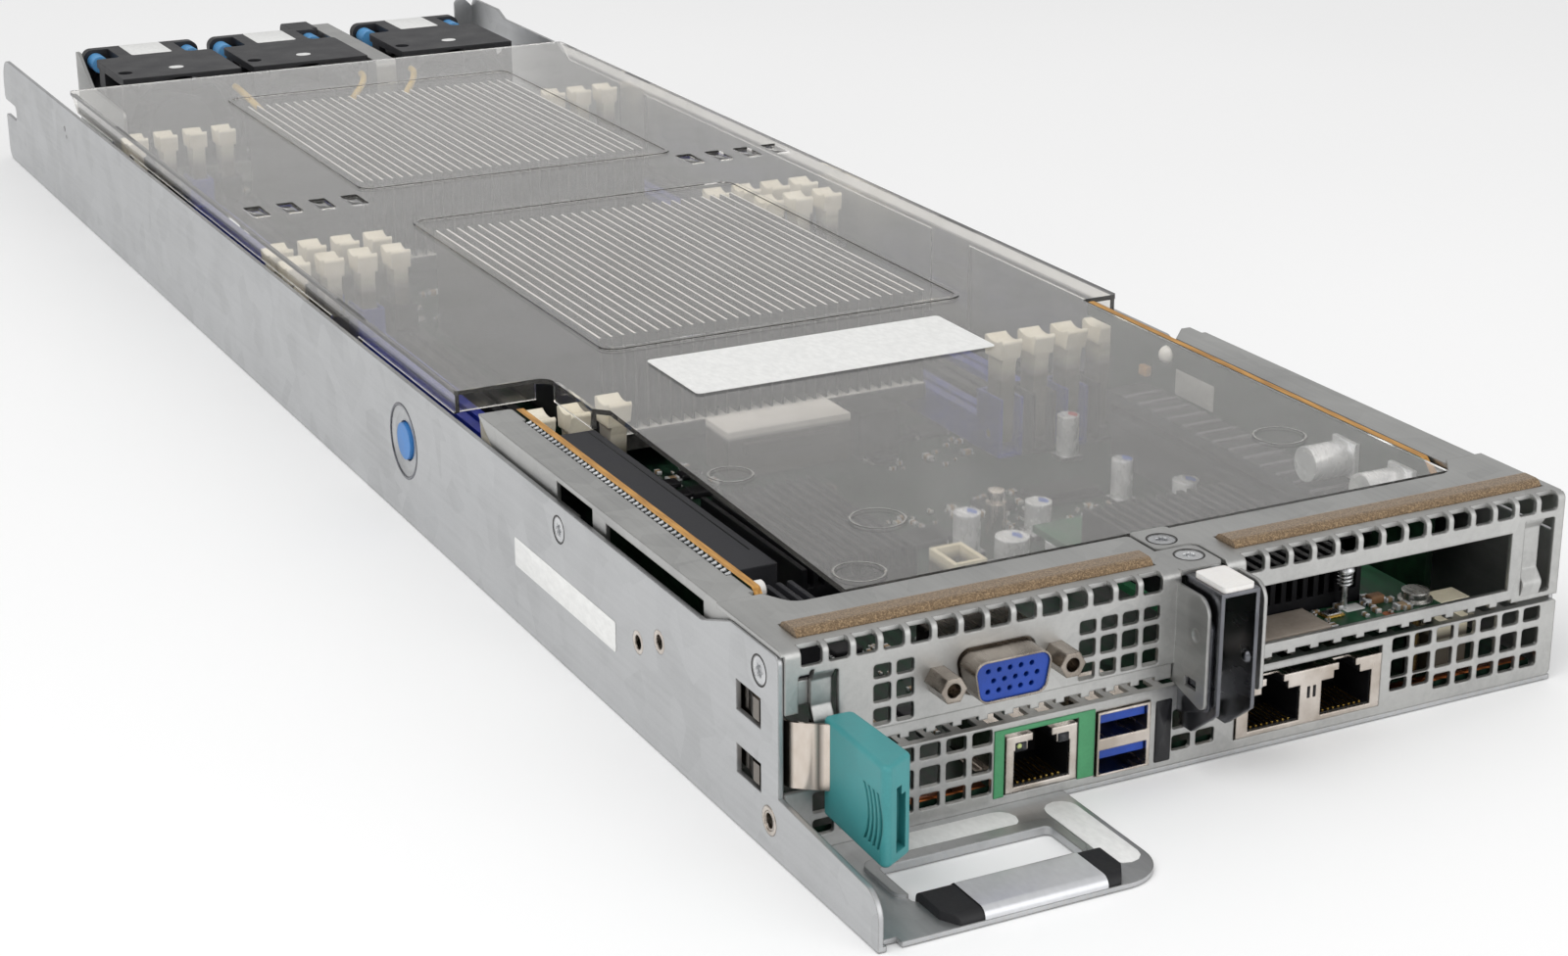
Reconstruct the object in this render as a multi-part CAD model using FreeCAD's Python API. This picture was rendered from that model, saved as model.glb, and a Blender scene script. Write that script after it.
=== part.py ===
import FreeCAD
import Part
import math
import os

# Half-width server node, millimetres.
# Working frame: X from the outer face of the left wall, Y from the face of the I/O panel
# towards the fans, Z up from the underside. Each piece is moved to the final frame on export:
# origin at the middle of the underside.

# Driving dimensions of the sheet-metal body
WIDTH = 176.5
REAR_END = 602.0
HANDLE_FRONT = -36.5
PANEL_TOP = 40.8
WALL_TOP = 35.4
SHEET = 1.0
RIGHT_FACE = WIDTH - SHEET

# Vent grid shared by the panels
GRID_PITCH = 5.5
GRID_HOLE = 4.3
HOLE_CORNER = 0.6

# Main board
BOARD_BOTTOM = 2.6
BOARD_TOP = 4.4

# Memory sockets: four on each side of each processor
SOCKET_PITCH = 9.3
SOCKET_LEFT = 10.3
SOCKET_RIGHT = 141.2
SOCKETS_PER_SIDE = 4
LATCH_SPAN = 143.0
BANK_FRONTS = (159.5, 319.0)

# Heat sinks and fans
SINK_LEFT = 48.5
SINK_RIGHT = 137.0
SINK_LENGTH = 112.0
SINK_FRONTS = (189.0, 359.0)
FAN_SIZE = 40.0
FAN_LENGTH = 56.0
FAN_FRONT = 519.0
FAN_CENTRES = (41.6, 85.8, 138.5)
FAN_AXIS_HEIGHT = SHEET + FAN_SIZE / 2

SHIFT = FreeCAD.Vector(-WIDTH / 2, -(REAR_END + HANDLE_FRONT) / 2, 0)


# Shape helpers

def box(x0, x1, y0, y1, z0, z1):
    return Part.makeBox(x1 - x0, y1 - y0, z1 - z0, FreeCAD.Vector(x0, y0, z0))


def rod(radius, start, axis, length):
    return Part.makeCylinder(radius, length, FreeCAD.Vector(*start), FreeCAD.Vector(*axis))


def cone(radius_start, radius_end, start, axis, length):
    return Part.makeCone(radius_start, radius_end, length, FreeCAD.Vector(*start), FreeCAD.Vector(*axis))


def join(shapes):
    first = shapes[0]
    if len(shapes) == 1:
        return first
    return first.multiFuse(shapes[1:]).removeSplitter()


def cut(shape, tools):
    return shape.cut(Part.makeCompound(tools))


def in_space(axis, offset, u, v):
    """Point (u, v) of an outline that lies across the given axis at the given offset."""
    if axis == "x":
        return FreeCAD.Vector(offset, u, v)
    if axis == "y":
        return FreeCAD.Vector(u, offset, v)
    return FreeCAD.Vector(u, v, offset)


def outline_edges(corners, place):
    """Straight runs and tangent arcs of a closed outline; a corner is (u, v) or (u, v, radius)."""
    starts = []
    middles = []
    ends = []
    for i, corner in enumerate(corners):
        here = FreeCAD.Vector(corner[0], corner[1], 0)
        radius = corner[2] if len(corner) > 2 else 0
        last = corners[i - 1]
        following = corners[(i + 1) % len(corners)]
        before = FreeCAD.Vector(last[0], last[1], 0) - here
        after = FreeCAD.Vector(following[0], following[1], 0) - here
        if radius == 0:
            starts.append(here)
            middles.append(None)
            ends.append(here)
            continue
        half = before.getAngle(after) / 2
        before.normalize()
        after.normalize()
        inward = before + after
        inward.normalize()
        starts.append(here + before * (radius / math.tan(half)))
        ends.append(here + after * (radius / math.tan(half)))
        middles.append(here + inward * (radius / math.sin(half) - radius))
    edges = []
    for i in range(len(corners)):
        if middles[i] is not None:
            edges.append(Part.Arc(place(starts[i]), place(middles[i]), place(ends[i])).toShape())
        following = starts[(i + 1) % len(corners)]
        if (following - ends[i]).Length > 1e-6:
            edges.append(Part.LineSegment(place(ends[i]), place(following)).toShape())
    return edges


def prism(axis, start, end, corners):
    """Solid from an outline across an axis, between two offsets along it."""
    edges = outline_edges(corners, lambda p: in_space(axis, start, p.x, p.y))
    face = Part.Face(Part.Wire(Part.__sortEdges__(edges)))
    origin = in_space(axis, start, 0, 0)
    return face.extrude(in_space(axis, end, 0, 0) - origin)


def rounded(u0, u1, v0, v1, radius):
    return [(u0, v0, radius), (u1, v0, radius), (u1, v1, radius), (u0, v1, radius)]


def ribbon(points, radius, thickness):
    """Outline of a strip of even thickness along a bent path of (u, v) points."""
    path = [FreeCAD.Vector(u, v, 0) for u, v in points]
    sides = ([], [])
    for i, here in enumerate(path):
        ahead = (path[min(i + 1, len(path) - 1)] - path[min(i, len(path) - 2)]).normalize()
        behind = (path[max(i, 1)] - path[max(i - 1, 0)]).normalize()
        left = FreeCAD.Vector(-ahead.y - behind.y, ahead.x + behind.x, 0).normalize()
        reach = thickness / 2 / left.dot(FreeCAD.Vector(-ahead.y, ahead.x, 0))
        turn = behind.x * ahead.y - behind.y * ahead.x
        for side, sign in zip(sides, (1, -1)):
            at = here + left * (reach * sign)
            bend = radius - sign * math.copysign(thickness / 2, turn) if abs(turn) > 1e-6 else 0
            side.append((at.x, at.y, bend))
    return sides[0] + sides[1][::-1]


def tube(points, bend, radius):
    """Round cord along straight runs joined by tangent arcs."""
    path = [FreeCAD.Vector(*p) for p in points]
    edges = []
    last = path[0]
    for i in range(1, len(path) - 1):
        here = path[i]
        before = (path[i - 1] - here).normalize()
        after = (path[i + 1] - here).normalize()
        half = before.getAngle(after) / 2
        start = here + before * (bend / math.tan(half))
        end = here + after * (bend / math.tan(half))
        inward = (before + after).normalize()
        middle = here + inward * (bend / math.sin(half) - bend)
        edges.append(Part.LineSegment(last, start).toShape())
        edges.append(Part.Arc(start, middle, end).toShape())
        last = end
    edges.append(Part.LineSegment(last, path[-1]).toShape())
    spine = Part.Wire(edges)
    section = Part.Wire(Part.makeCircle(radius, path[0], path[1] - path[0]))
    return spine.makePipeShell([section], True, False)


def export(name, shape):
    moved = shape.copy()
    moved.translate(SHIFT)
    moved.exportStep("parts/" + name + ".step")


# Fasteners: flat-head screws in the top flanges and the left wall, rivets of the latch

FLAT_HEAD_RADIUS = 2.8
FLAT_HEAD_DEPTH = 1.4
SCREW_RADIUS = 1.4
TOP_SCREWS = ((90.0, 6.2), (90.0, 15.4))
WALL_SCREWS = ((99.8, 29.8), (8.0, 34.5))
PIVOT_RIVETS = ((60.8, 19.7), (50.8, 23.6))
EYELET = (4.2, 6.6)
RIVET_RADIUS = 2.4
RIVET_BORE = 1.5


def flat_head(start, axis, length):
    head = cone(FLAT_HEAD_RADIUS, SCREW_RADIUS, start, axis, FLAT_HEAD_DEPTH)
    return join([head, rod(SCREW_RADIUS, start, axis, length)])


def flat_head_screws():
    screws = []
    for x, y in TOP_SCREWS:
        screws.append(flat_head((x, y, PANEL_TOP), (0, 0, -1), 4.0))
    for y, z in WALL_SCREWS:
        screws.append(flat_head((0, y, z), (1, 0, 0), 3.6))
    return screws


def tubular_rivets():
    rivets = []
    for y, z in PIVOT_RIVETS:
        shank = rod(RIVET_RADIUS, (0, y, z), (1, 0, 0), SHEET + 1.2)
        rivets.append(cut(shank, [rod(RIVET_BORE, (-1, y, z), (1, 0, 0), 6)]))
    y, z = EYELET
    collar = rod(RIVET_RADIUS, (0, y, z), (1, 0, 0), 2.0)
    rivets.append(cut(collar, [rod(RIVET_BORE, (-1, y, z), (1, 0, 0), 6)]))
    return rivets


# Tray: floor, side walls and handle plate bent from one sheet

HANDLE_RIGHT = 59.5
HANDLE_CORNER = 9.0
WINDOW = (13.1, 48.8, -25.5, -12.2)
RIM = 2.0
RIM_HEIGHT = 0.8
FIN_HEIGHT = 12.4
STEP_FRONT = 19.5
STEP_REAR = 31.7
BUTTON_AT = (193.5, 19.9)
DISH_RADIUS = 8.75
DISH_FLOOR_RADIUS = 7.2
DISH_DEPTH = 0.8
BUTTON_RADIUS = 4.4
BUTTON_LENGTH = 2.9
COLLAR_GAP = 0.4
COLLAR_SHEET = 0.8
LATCH_WINDOWS = ((7.4, 17.3, 23.3, 29.3), (7.4, 17.3, 10.8, 16.5))
TAB_NOTCH = (586.0, 15.6, 20.8)
RIGHT_WALL_LOW = 32.0
RIGHT_WALL_HIGH = 38.5
HUMP_TOP = 41.0
FLOOR_REAR = REAR_END - 6.0
BOARD_PAD_COLUMNS = (24.0, 88.0, 152.0)
BOARD_PAD_ROWS = (40.0, 150.0, 312.0, 490.0)
REAR_HOLES = ((513.9, 28.0, 0.9), (512.3, 25.6, 0.6))


def wall_outline():
    """Left wall seen from the side as (y, z), with the low fin beside the handle."""
    notch_front, notch_low, notch_high = TAB_NOTCH
    shoulder = PANEL_TOP - 1.1
    return [(HANDLE_FRONT, 0), (HANDLE_FRONT, FIN_HEIGHT - 2, 5), (0.5, FIN_HEIGHT), (0.5, shoulder, 1.5),
            (STEP_FRONT, shoulder, 4), (STEP_REAR, WALL_TOP, 4), (REAR_END, WALL_TOP, 9),
            (REAR_END, notch_high, 1.5), (notch_front, notch_high, 2), (notch_front, notch_low, 2),
            (REAR_END, notch_low, 1.5), (REAR_END, 0, 4)]


def right_wall_outline():
    """Right wall: low beside the riser rail, full height beside the fans."""
    notch_front, notch_low, notch_high = TAB_NOTCH
    front = SHEET + 0.1
    return [(front, 0), (front, RIGHT_WALL_LOW, 1.5), (134, RIGHT_WALL_LOW, 3), (140, WALL_TOP, 3),
            (514, WALL_TOP, 3), (520, RIGHT_WALL_HIGH, 3), (569, RIGHT_WALL_HIGH, 3), (576, HUMP_TOP, 3),
            (REAR_END, HUMP_TOP, 4), (REAR_END, notch_high, 1.5), (notch_front, notch_high, 2),
            (notch_front, notch_low, 2), (REAR_END, notch_low, 1.5), (REAR_END, 0, 4)]


def right_wall_tab():
    """Rear end of the right wall, turned inward above the notch."""
    return prism("y", REAR_END - SHEET, REAR_END, [(168.5, 24.0, 2), (WIDTH, 24.0), (WIDTH, HUMP_TOP - 4),
                                                   (WIDTH - 4, HUMP_TOP, 1), (168.5, HUMP_TOP, 2)])


def handle_plate():
    """Flat pull handle with a finger window that has a raised rim."""
    plate = prism("z", 0, SHEET, [(0, 0), (0, HANDLE_FRONT), (HANDLE_RIGHT, HANDLE_FRONT, HANDLE_CORNER),
                                  (HANDLE_RIGHT, 0)])
    x0, x1, y0, y1 = WINDOW
    rim = prism("z", SHEET, SHEET + RIM_HEIGHT, rounded(x0 - RIM, x1 + RIM, y0 + 2, y1 + RIM + 1, 2.5))
    return cut(join([plate, rim]), [prism("z", -1, 4, rounded(x0, x1, y0, y1, 1.5))])


def dish():
    """Soft-edged dish pressed into the left wall round the button, as added sheet and as cut space."""
    y, z = BUTTON_AT
    sheet = cone(DISH_RADIUS + SHEET, DISH_FLOOR_RADIUS + SHEET, (0, y, z), (1, 0, 0), DISH_DEPTH + SHEET)
    half_section = [(0, -1), (DISH_RADIUS + 3, -1), (DISH_RADIUS + 3, 0), (DISH_RADIUS, 0, 0.8),
                    (DISH_FLOOR_RADIUS, DISH_DEPTH, 0.8), (0, DISH_DEPTH)]
    edges = outline_edges(half_section, lambda p: FreeCAD.Vector(p.y, y, z + p.x))
    face = Part.Face(Part.Wire(Part.__sortEdges__(edges)))
    space = face.revolve(FreeCAD.Vector(0, y, z), FreeCAD.Vector(1, 0, 0), 360)
    return sheet, space


def tray():
    floor = box(0, WIDTH, 0, FLOOR_REAR, 0, SHEET)
    left = prism("x", 0, SHEET, wall_outline())
    right = prism("x", RIGHT_FACE, WIDTH, right_wall_outline())
    dish_sheet, dish_space = dish()
    pads = []
    for x in BOARD_PAD_COLUMNS:
        for y in BOARD_PAD_ROWS:
            pads.append(cone(4.0, 2.6, (x, y, SHEET), (0, 0, 1), BOARD_BOTTOM - SHEET))
    body = join([floor, left, right, right_wall_tab(), handle_plate(), dish_sheet] + pads)
    y, z = BUTTON_AT
    tools = [dish_space,
             rod(BUTTON_RADIUS + 0.4, (-1, y, z), (1, 0, 0), 8),
             box(1.6, 4.6, HANDLE_FRONT - 1, HANDLE_FRONT + 2, -1, 3)]
    for y0, y1, z0, z1 in LATCH_WINDOWS:
        tools.append(box(-1, SHEET + 1, y0, y1, z0, z1))
    for y, z in PIVOT_RIVETS + (EYELET,):
        tools.append(rod(RIVET_RADIUS, (-1, y, z), (1, 0, 0), 3))
    for y, z, radius in REAR_HOLES:
        tools.append(rod(radius, (-1, y, z), (1, 0, 0), 3))
    return cut(body, tools + flat_head_screws())


# Handle dressing

GRIP_SPAN = (14.0, 51.0)
GRIP_REAR = -24.4
GRIP_TOP = 2.9
GRIP_LABEL_SPAN = (21.0, 46.0)
GRIP_FRONT = HANDLE_FRONT + 0.3
GRIP_EDGE = 1.7
TAPE = 0.2
PAPER = 0.15
WALL_STICKER = (71.5, 124.4, 13.4, 19.9)
HANDLE_STICKERS = ((17.0, 45.9, -8.7, -2.0), (51.8, 58.4, -30.0, -3.4))
FAN_STICKER_WIDTH = 14.0
FAN_STICKER_LENGTH = 18.0


def grip_section(low, skin):
    """Rounded section of the grip as (y, z), grown by a skin at the front and top."""
    top = GRIP_TOP + skin
    edge = GRIP_EDGE + skin
    front = GRIP_FRONT - skin
    return [(front, low), (front, top, edge), (GRIP_REAR, top, edge), (GRIP_REAR, low)]


def handle_grip():
    """Moulded grip over the front bar of the handle."""
    x0, x1 = GRIP_SPAN
    bar = prism("x", x0, x1, grip_section(0.2, 0))
    ends = [prism("z", -1, 9, [(x, HANDLE_FRONT - 1), (x, HANDLE_FRONT + 4), (x + lean, HANDLE_FRONT - 1)])
            for x, lean in ((x0, 3), (x1, -3))]
    return cut(bar, ends + [handle_plate()])


def grip_tape():
    """Bare tape over the middle of the grip, over its top and down its front."""
    x0, x1 = GRIP_LABEL_SPAN
    outer = prism("x", x0, x1, grip_section(SHEET, TAPE))
    inner = prism("x", x0 - 1, x1 + 1, grip_section(-1, 0))
    return outer.cut(inner)


def bare_labels():
    """Blank stickers on the left wall, the handle plate and the fans, and the blank tape on the grip."""
    y0, y1, z0, z1 = WALL_STICKER
    labels = [grip_tape(), box(-PAPER, 0, y0, y1, z0, z1)]
    for x0, x1, y0, y1 in HANDLE_STICKERS:
        labels.append(prism("z", SHEET, SHEET + PAPER, rounded(x0, x1, y0, y1, 3.2)))
    rear = FAN_FRONT + FAN_LENGTH - 0.5
    top = FAN_AXIS_HEIGHT + FAN_SIZE / 2
    half = FAN_STICKER_WIDTH / 2
    for x in FAN_CENTRES:
        labels.append(box(x - half, x + half, rear - FAN_STICKER_LENGTH, rear, top, top + PAPER))
    return Part.makeCompound(labels)


# Lower I/O panel: vent grid and port openings

IO_TOP = 17.6
IO_ROWS = ((13.9, 17.0), (8.3, 12.4), (3.8, 7.0))
LAN_OPENING = (46.3, 62.4, 2.9, 15.4)
USB_OPENING = (66.2, 78.4, 2.3, 15.7)
TWIN_OPENING = (98.0, 132.9, 3.0, 16.1)
SPRING_GATE = (6.8, 13.2, 28.6)
IO_LEFT = SHEET + 0.1
FOLD = 0.8
FOOT_GAPS = ((45, 80), (97, 134))
FLANGE_SLOT_COUNT = 28


def grid(first, count, rows):
    """Holes of the vent grid with soft corners: columns from a first edge at the shared pitch."""
    holes = []
    for i in range(count):
        x = first + GRID_PITCH * i
        for z0, z1 in rows:
            holes.append(prism("y", -1, SHEET + 1, rounded(x, x + GRID_HOLE, z0, z1, HOLE_CORNER)))
    return holes


def io_panel():
    """Lower half of the port face, folded in at the floor and along its top edge."""
    sheet = prism("y", 0, SHEET, [(IO_LEFT, SHEET), (WIDTH, SHEET, 1.4), (WIDTH, IO_TOP, 0.6),
                                  (IO_LEFT, IO_TOP)])
    foot = box(IO_LEFT, RIGHT_FACE - 0.1, SHEET, 14, SHEET, SHEET + FOLD)
    top_flange = box(14, RIGHT_FACE - 0.1, SHEET, 5, IO_TOP - FOLD, IO_TOP)
    gate_right, gate_low, gate_high = SPRING_GATE
    holes = [box(0, gate_right, -1, 3, gate_low, gate_high)]
    holes += grid(12.0, 6, IO_ROWS)
    holes += grid(6.6, 1, IO_ROWS[1:])
    holes += grid(83.6, 2, IO_ROWS[1:])
    holes += grid(146.3, 5, IO_ROWS)
    holes += grid(135.3, 2, IO_ROWS[:2] + ((5.5, 8.1),))
    for x0, x1, z0, z1 in (LAN_OPENING, USB_OPENING, TWIN_OPENING):
        holes.append(box(x0, x1, -1, SHEET + 1, z0, z1))
    for x0, x1 in FOOT_GAPS:
        holes.append(box(x0, x1, SHEET, 15, SHEET - 1, SHEET + FOLD + 1))
    for i in range(FLANGE_SLOT_COUNT):
        x = 16 + GRID_PITCH * i
        holes.append(box(x, x + 3.4, 1.5, 6, IO_TOP - 2, IO_TOP + 1))
    return cut(join([sheet, foot, top_flange]), holes)


# Centre guide: inverted channel with a pad, in front of the joint of the two upper panels

GUIDE_LEFT = 85.0
GUIDE_RIGHT = 93.6
GUIDE_FRONT = -11.8
GUIDE_TOP = 40.0
GUIDE_SHEET = 0.8
GUIDE_FOOT = 9.4
GUIDE_PAD = (85.7, 92.6, -11.6, -1.8)
GUIDE_PAD_TOP = GUIDE_TOP + 1.1


def guide_side(x0, x1):
    """Side of the channel, cut away at its lower front corner."""
    top = GUIDE_TOP - GUIDE_SHEET
    return prism("x", x0, x1, [(0, top), (GUIDE_FRONT, top), (GUIDE_FRONT, 15.6, 1), (-4.2, GUIDE_FOOT, 1),
                               (0, GUIDE_FOOT)])


def centre_guide():
    """Channel with a doubling plate on its left side and a small stop on its right."""
    web = box(GUIDE_LEFT, GUIDE_RIGHT, GUIDE_FRONT, 0, GUIDE_TOP - GUIDE_SHEET, GUIDE_TOP)
    left = guide_side(GUIDE_LEFT, GUIDE_LEFT + GUIDE_SHEET)
    right = guide_side(GUIDE_RIGHT - GUIDE_SHEET, GUIDE_RIGHT)
    doubler = prism("x", GUIDE_LEFT - 0.6, GUIDE_LEFT, [(0, 34), (-9.4, 34, 2), (-9.4, 15.6, 1.5), (0, 12)])
    stop = Part.makeSphere(1.4, FreeCAD.Vector(GUIDE_RIGHT - 0.4, -9.6, 25.6))
    return join([web, left, right, doubler, stop])


def guide_pad():
    x0, x1, y0, y1 = GUIDE_PAD
    return prism("z", GUIDE_TOP, GUIDE_PAD_TOP, rounded(x0, x1, y0, y1, 0.8))


# Riser brackets: upper panel halves with top flange, gasket pan, side rail and forward ear

FLANGE_DEPTH = 19.7
FRONT_NOTCH = (37.3, 2.3)
GASKET_Y = (5.0, 11.6)
GASKET_TOP = 42.0
PAN_FLOOR = 40.0
GASKET_LEFT = (6.0, 81.2)
GASKET_RIGHT = (99.8, 174.4)
EAR_SHEET = 0.8
BEND_RADIUS = 1.6
STRAP_SHEET = 0.9
STRAP_SET_BACK = 1.3


def front_notches(first, count):
    """Row of notches over the bend of the upper panel."""
    low, deep = FRONT_NOTCH
    high = PANEL_TOP + 1
    notches = []
    for i in range(count):
        x0 = first + GRID_PITCH * i
        x1 = x0 + GRID_HOLE
        corners = [(x0, low, HOLE_CORNER), (x1, low, HOLE_CORNER), (x1, high), (x0, high)]
        notches.append(prism("y", -1, deep, corners))
    return notches


def bend_round(x0, x1):
    """Space outside the round of the bend between an upper panel and its top flange."""
    level = PANEL_TOP - BEND_RADIUS
    corner = box(x0, x1, -1, BEND_RADIUS, level, PANEL_TOP + 1)
    return corner.cut(rod(BEND_RADIUS, (x0, BEND_RADIUS, level), (1, 0, 0), x1 - x0))


def gasket_pan(span):
    """Sunk pan under a gasket strip, as added sheet and as cut space."""
    x0, x1 = span
    y0, y1 = GASKET_Y
    sheet = box(x0 - 1, x1 + 1, y0 - 1, y1 + 1, PAN_FLOOR - 0.8, PANEL_TOP - 0.5)
    space = box(x0 - 0.3, x1 + 0.3, y0 - 0.3, y1 + 0.3, PAN_FLOOR, PANEL_TOP + 1)
    return sheet, space


def strap(x0, x1, z0, z1, swell):
    """Bridge of sheet pressed back from the panel between two bends; the lower bend swells forward."""
    middle = SHEET / 2
    back = middle + STRAP_SET_BACK
    path = [(middle, z1 + 1), (middle, z1), (back, z1 - 1.8), (back, z0 + 5.2), (middle - swell, z0 + 2.6),
            (middle, z0), (middle, z0 - 1)]
    return prism("x", x0, x1, ribbon(path, 1.0, STRAP_SHEET))


def hem(x0, x1, z0, z1):
    """Set-back strip under the upper panel, with toothed lower edge."""
    strip = box(x0, x1, 0.6, 0.6 + SHEET, z0, z1)
    count = int((x1 - x0 - 4) // GRID_PITCH)
    lefts = [x0 + 3 + GRID_PITCH * i for i in range(count)]
    return cut(strip, [box(x, x + 3.6, -1, 3, z0 - 1, z0 + 0.9) for x in lefts])


LEFT_PANEL_RIGHT = 84.2
LEFT_PANEL_LOW = 22.2
VGA_CENTRE = (44.3, 29.6)
JACK_SPACING = 24.99
RAIL_TOP = PANEL_TOP - 0.8
RAIL_LEFT = 1.6
RAIL_REAR = 148.0
RAIL_FRONT = 18.0
LEFT_VENT_ROWS = ((32.0, 34.8), (27.3, 31.0), (22.8, 26.2))
LEFT_VENT_PITCH = 4.7
LEFT_VENT_WIDTH = 3.6
LEFT_VENTS = ((18.8, 2), (62.0, 4))
LEFT_STRAP_OPENING = (3.7, 11.8, 23.4, 35.7)
LEFT_STRAP = (6.9, 11.0)
RETURN_Z = (28.9, 33.6)
RETURN_Y = 3.3


def d_outline(width, height, centre, radius):
    """D outline of the video port: wide at the top, sides leaning in by ten degrees."""
    x, z = centre
    lean = height * math.tan(math.radians(10))
    return [(x - width / 2 + lean, z - height / 2, radius), (x + width / 2 - lean, z - height / 2, radius),
            (x + width / 2, z + height / 2, radius), (x - width / 2, z + height / 2, radius)]


def jack_positions():
    x, z = VGA_CENTRE
    return [(x - JACK_SPACING / 2, z), (x + JACK_SPACING / 2, z)]


def left_rail():
    """Rail that carries the left riser card: flat top and a side that stands on the tray wall."""
    inner = 8.6
    top = prism("z", RAIL_TOP - SHEET, RAIL_TOP,
                [(RAIL_LEFT, RAIL_FRONT), (RAIL_LEFT, RAIL_REAR, 1), (9.4, RAIL_REAR, 1), (9.4, 139.4),
                 (inner, 139.4), (inner, 38.7), (9.6, 38.7), (9.6, 29.4), (inner, 29.4), (inner, RAIL_FRONT)])
    side = prism("x", RAIL_LEFT, RAIL_LEFT + SHEET,
                 [(RAIL_FRONT, WALL_TOP - 2), (138, WALL_TOP - 2), (RAIL_REAR, RAIL_TOP),
                  (RAIL_FRONT, RAIL_TOP)])
    windows = [box(0, 4, 85.5, 104, WALL_TOP - 3, RAIL_TOP - 1.2),
               box(0, 4, 34, 79, WALL_TOP - 3, WALL_TOP + 2.6)]
    hook = box(SHEET, RAIL_LEFT + SHEET, 94, 105.6, WALL_TOP - 8.9, WALL_TOP - 1)
    return join([top, cut(side, windows), hook])


def left_panel_holes():
    """Latch gate, strap opening, notches, vents and video port in the left upper panel."""
    gate_right, gate_low, gate_high = SPRING_GATE
    x0, x1, z0, z1 = LEFT_STRAP_OPENING
    holes = [box(0, gate_right, -1, 3, gate_low, gate_high),
             prism("y", -1, 3, rounded(x0, x1, z0, z1, HOLE_CORNER))]
    holes += front_notches(4.3, 14)
    for first, count in LEFT_VENTS:
        for i in range(count):
            x = first + LEFT_VENT_PITCH * i
            for z0, z1 in LEFT_VENT_ROWS:
                holes.append(prism("y", -1, 3, rounded(x, x + LEFT_VENT_WIDTH, z0, z1, HOLE_CORNER)))
    holes.append(prism("y", -1, 3, d_outline(17.6, 9.4, VGA_CENTRE, 2.6)))
    holes += [rod(2.0, (x, -1, z), (0, 1, 0), 4) for x, z in jack_positions()]
    holes.append(rod(0.7, (6.6, -1, 35.8), (0, 1, 0), 4))
    return holes


def strap_return():
    """Left edge of the strap opening, turned back and then across behind the opening."""
    left = LEFT_STRAP_OPENING[0] - SHEET
    z0, z1 = RETURN_Z
    side = box(left, left + SHEET, SHEET / 2, RETURN_Y, z0, z1)
    plate = prism("y", RETURN_Y - 0.8, RETURN_Y, [(left, z0), (7.2, z0), (7.2, z1), (left, z1)])
    return join([side, plate])


def riser_bracket_left():
    """Left upper panel with its flange, gasket pan, ear beside the guide and riser rail."""
    front = box(SHEET + 0.1, LEFT_PANEL_RIGHT, 0, SHEET, LEFT_PANEL_LOW, PANEL_TOP)
    flange = prism("z", PANEL_TOP - SHEET, PANEL_TOP,
                   [(0.4, 0), (94.0, 0, 2), (94.0, 10.6, 2), (85.2, 10.6), (85.2, FLANGE_DEPTH, 1),
                    (13, FLANGE_DEPTH, 4), (9.6, 26), (0.4, 26)])
    pan, pan_space = gasket_pan(GASKET_LEFT)
    ear = prism("x", LEFT_PANEL_RIGHT - EAR_SHEET, LEFT_PANEL_RIGHT,
                [(SHEET, 38.4), (-10.0, 38.4, 3.5), (-10.0, 15.6, 1.5), (SHEET, 18.6)])
    teeth = hem(18, LEFT_PANEL_RIGHT - 1, 19.0, LEFT_PANEL_LOW + 0.6)
    lance = box(LEFT_PANEL_RIGHT - 2, LEFT_PANEL_RIGHT + 1, -7.2, -3.6, 19.2, 21.2)
    dimple = Part.makeSphere(2.2, FreeCAD.Vector(LEFT_PANEL_RIGHT - EAR_SHEET - 1.7, -6.4, 30.2))
    tools = left_panel_holes() + flat_head_screws()
    tools += [bend_round(0, LEFT_PANEL_RIGHT), pan_space, lance, dimple]
    sheet = cut(join([front, flange, pan, ear, teeth, left_rail()]), tools)
    x0, x1 = LEFT_STRAP
    low, high = LEFT_STRAP_OPENING[2:]
    return join([sheet, strap(x0, x1, low, high, 0), strap_return()])


RIGHT_PANEL_LEFT = 94.6
RIGHT_PANEL_LOW = 21.8
SLOT_OPENING = (100.6, 163.6, 21.8, 34.1)
RIGHT_STRAP_OPENING = (166.7, 174.3, 19.9, 35.9)
RIGHT_STRAP_GAP = 2.6
RIGHT_EAR = 97.0


def right_rail():
    """Rail that carries the right riser card, with a pointed far end and a side flange."""
    outer = RIGHT_FACE - 0.1
    top = prism("z", RAIL_TOP - SHEET, RAIL_TOP,
                [(167.4, RAIL_FRONT), (outer, RAIL_FRONT), (outer, 130), (173, 130), (167.4, 124)])
    side = box(outer, outer + SHEET, SHEET, 125, RIGHT_WALL_LOW + 0.6, RAIL_TOP)
    return join([top, side])


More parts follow.
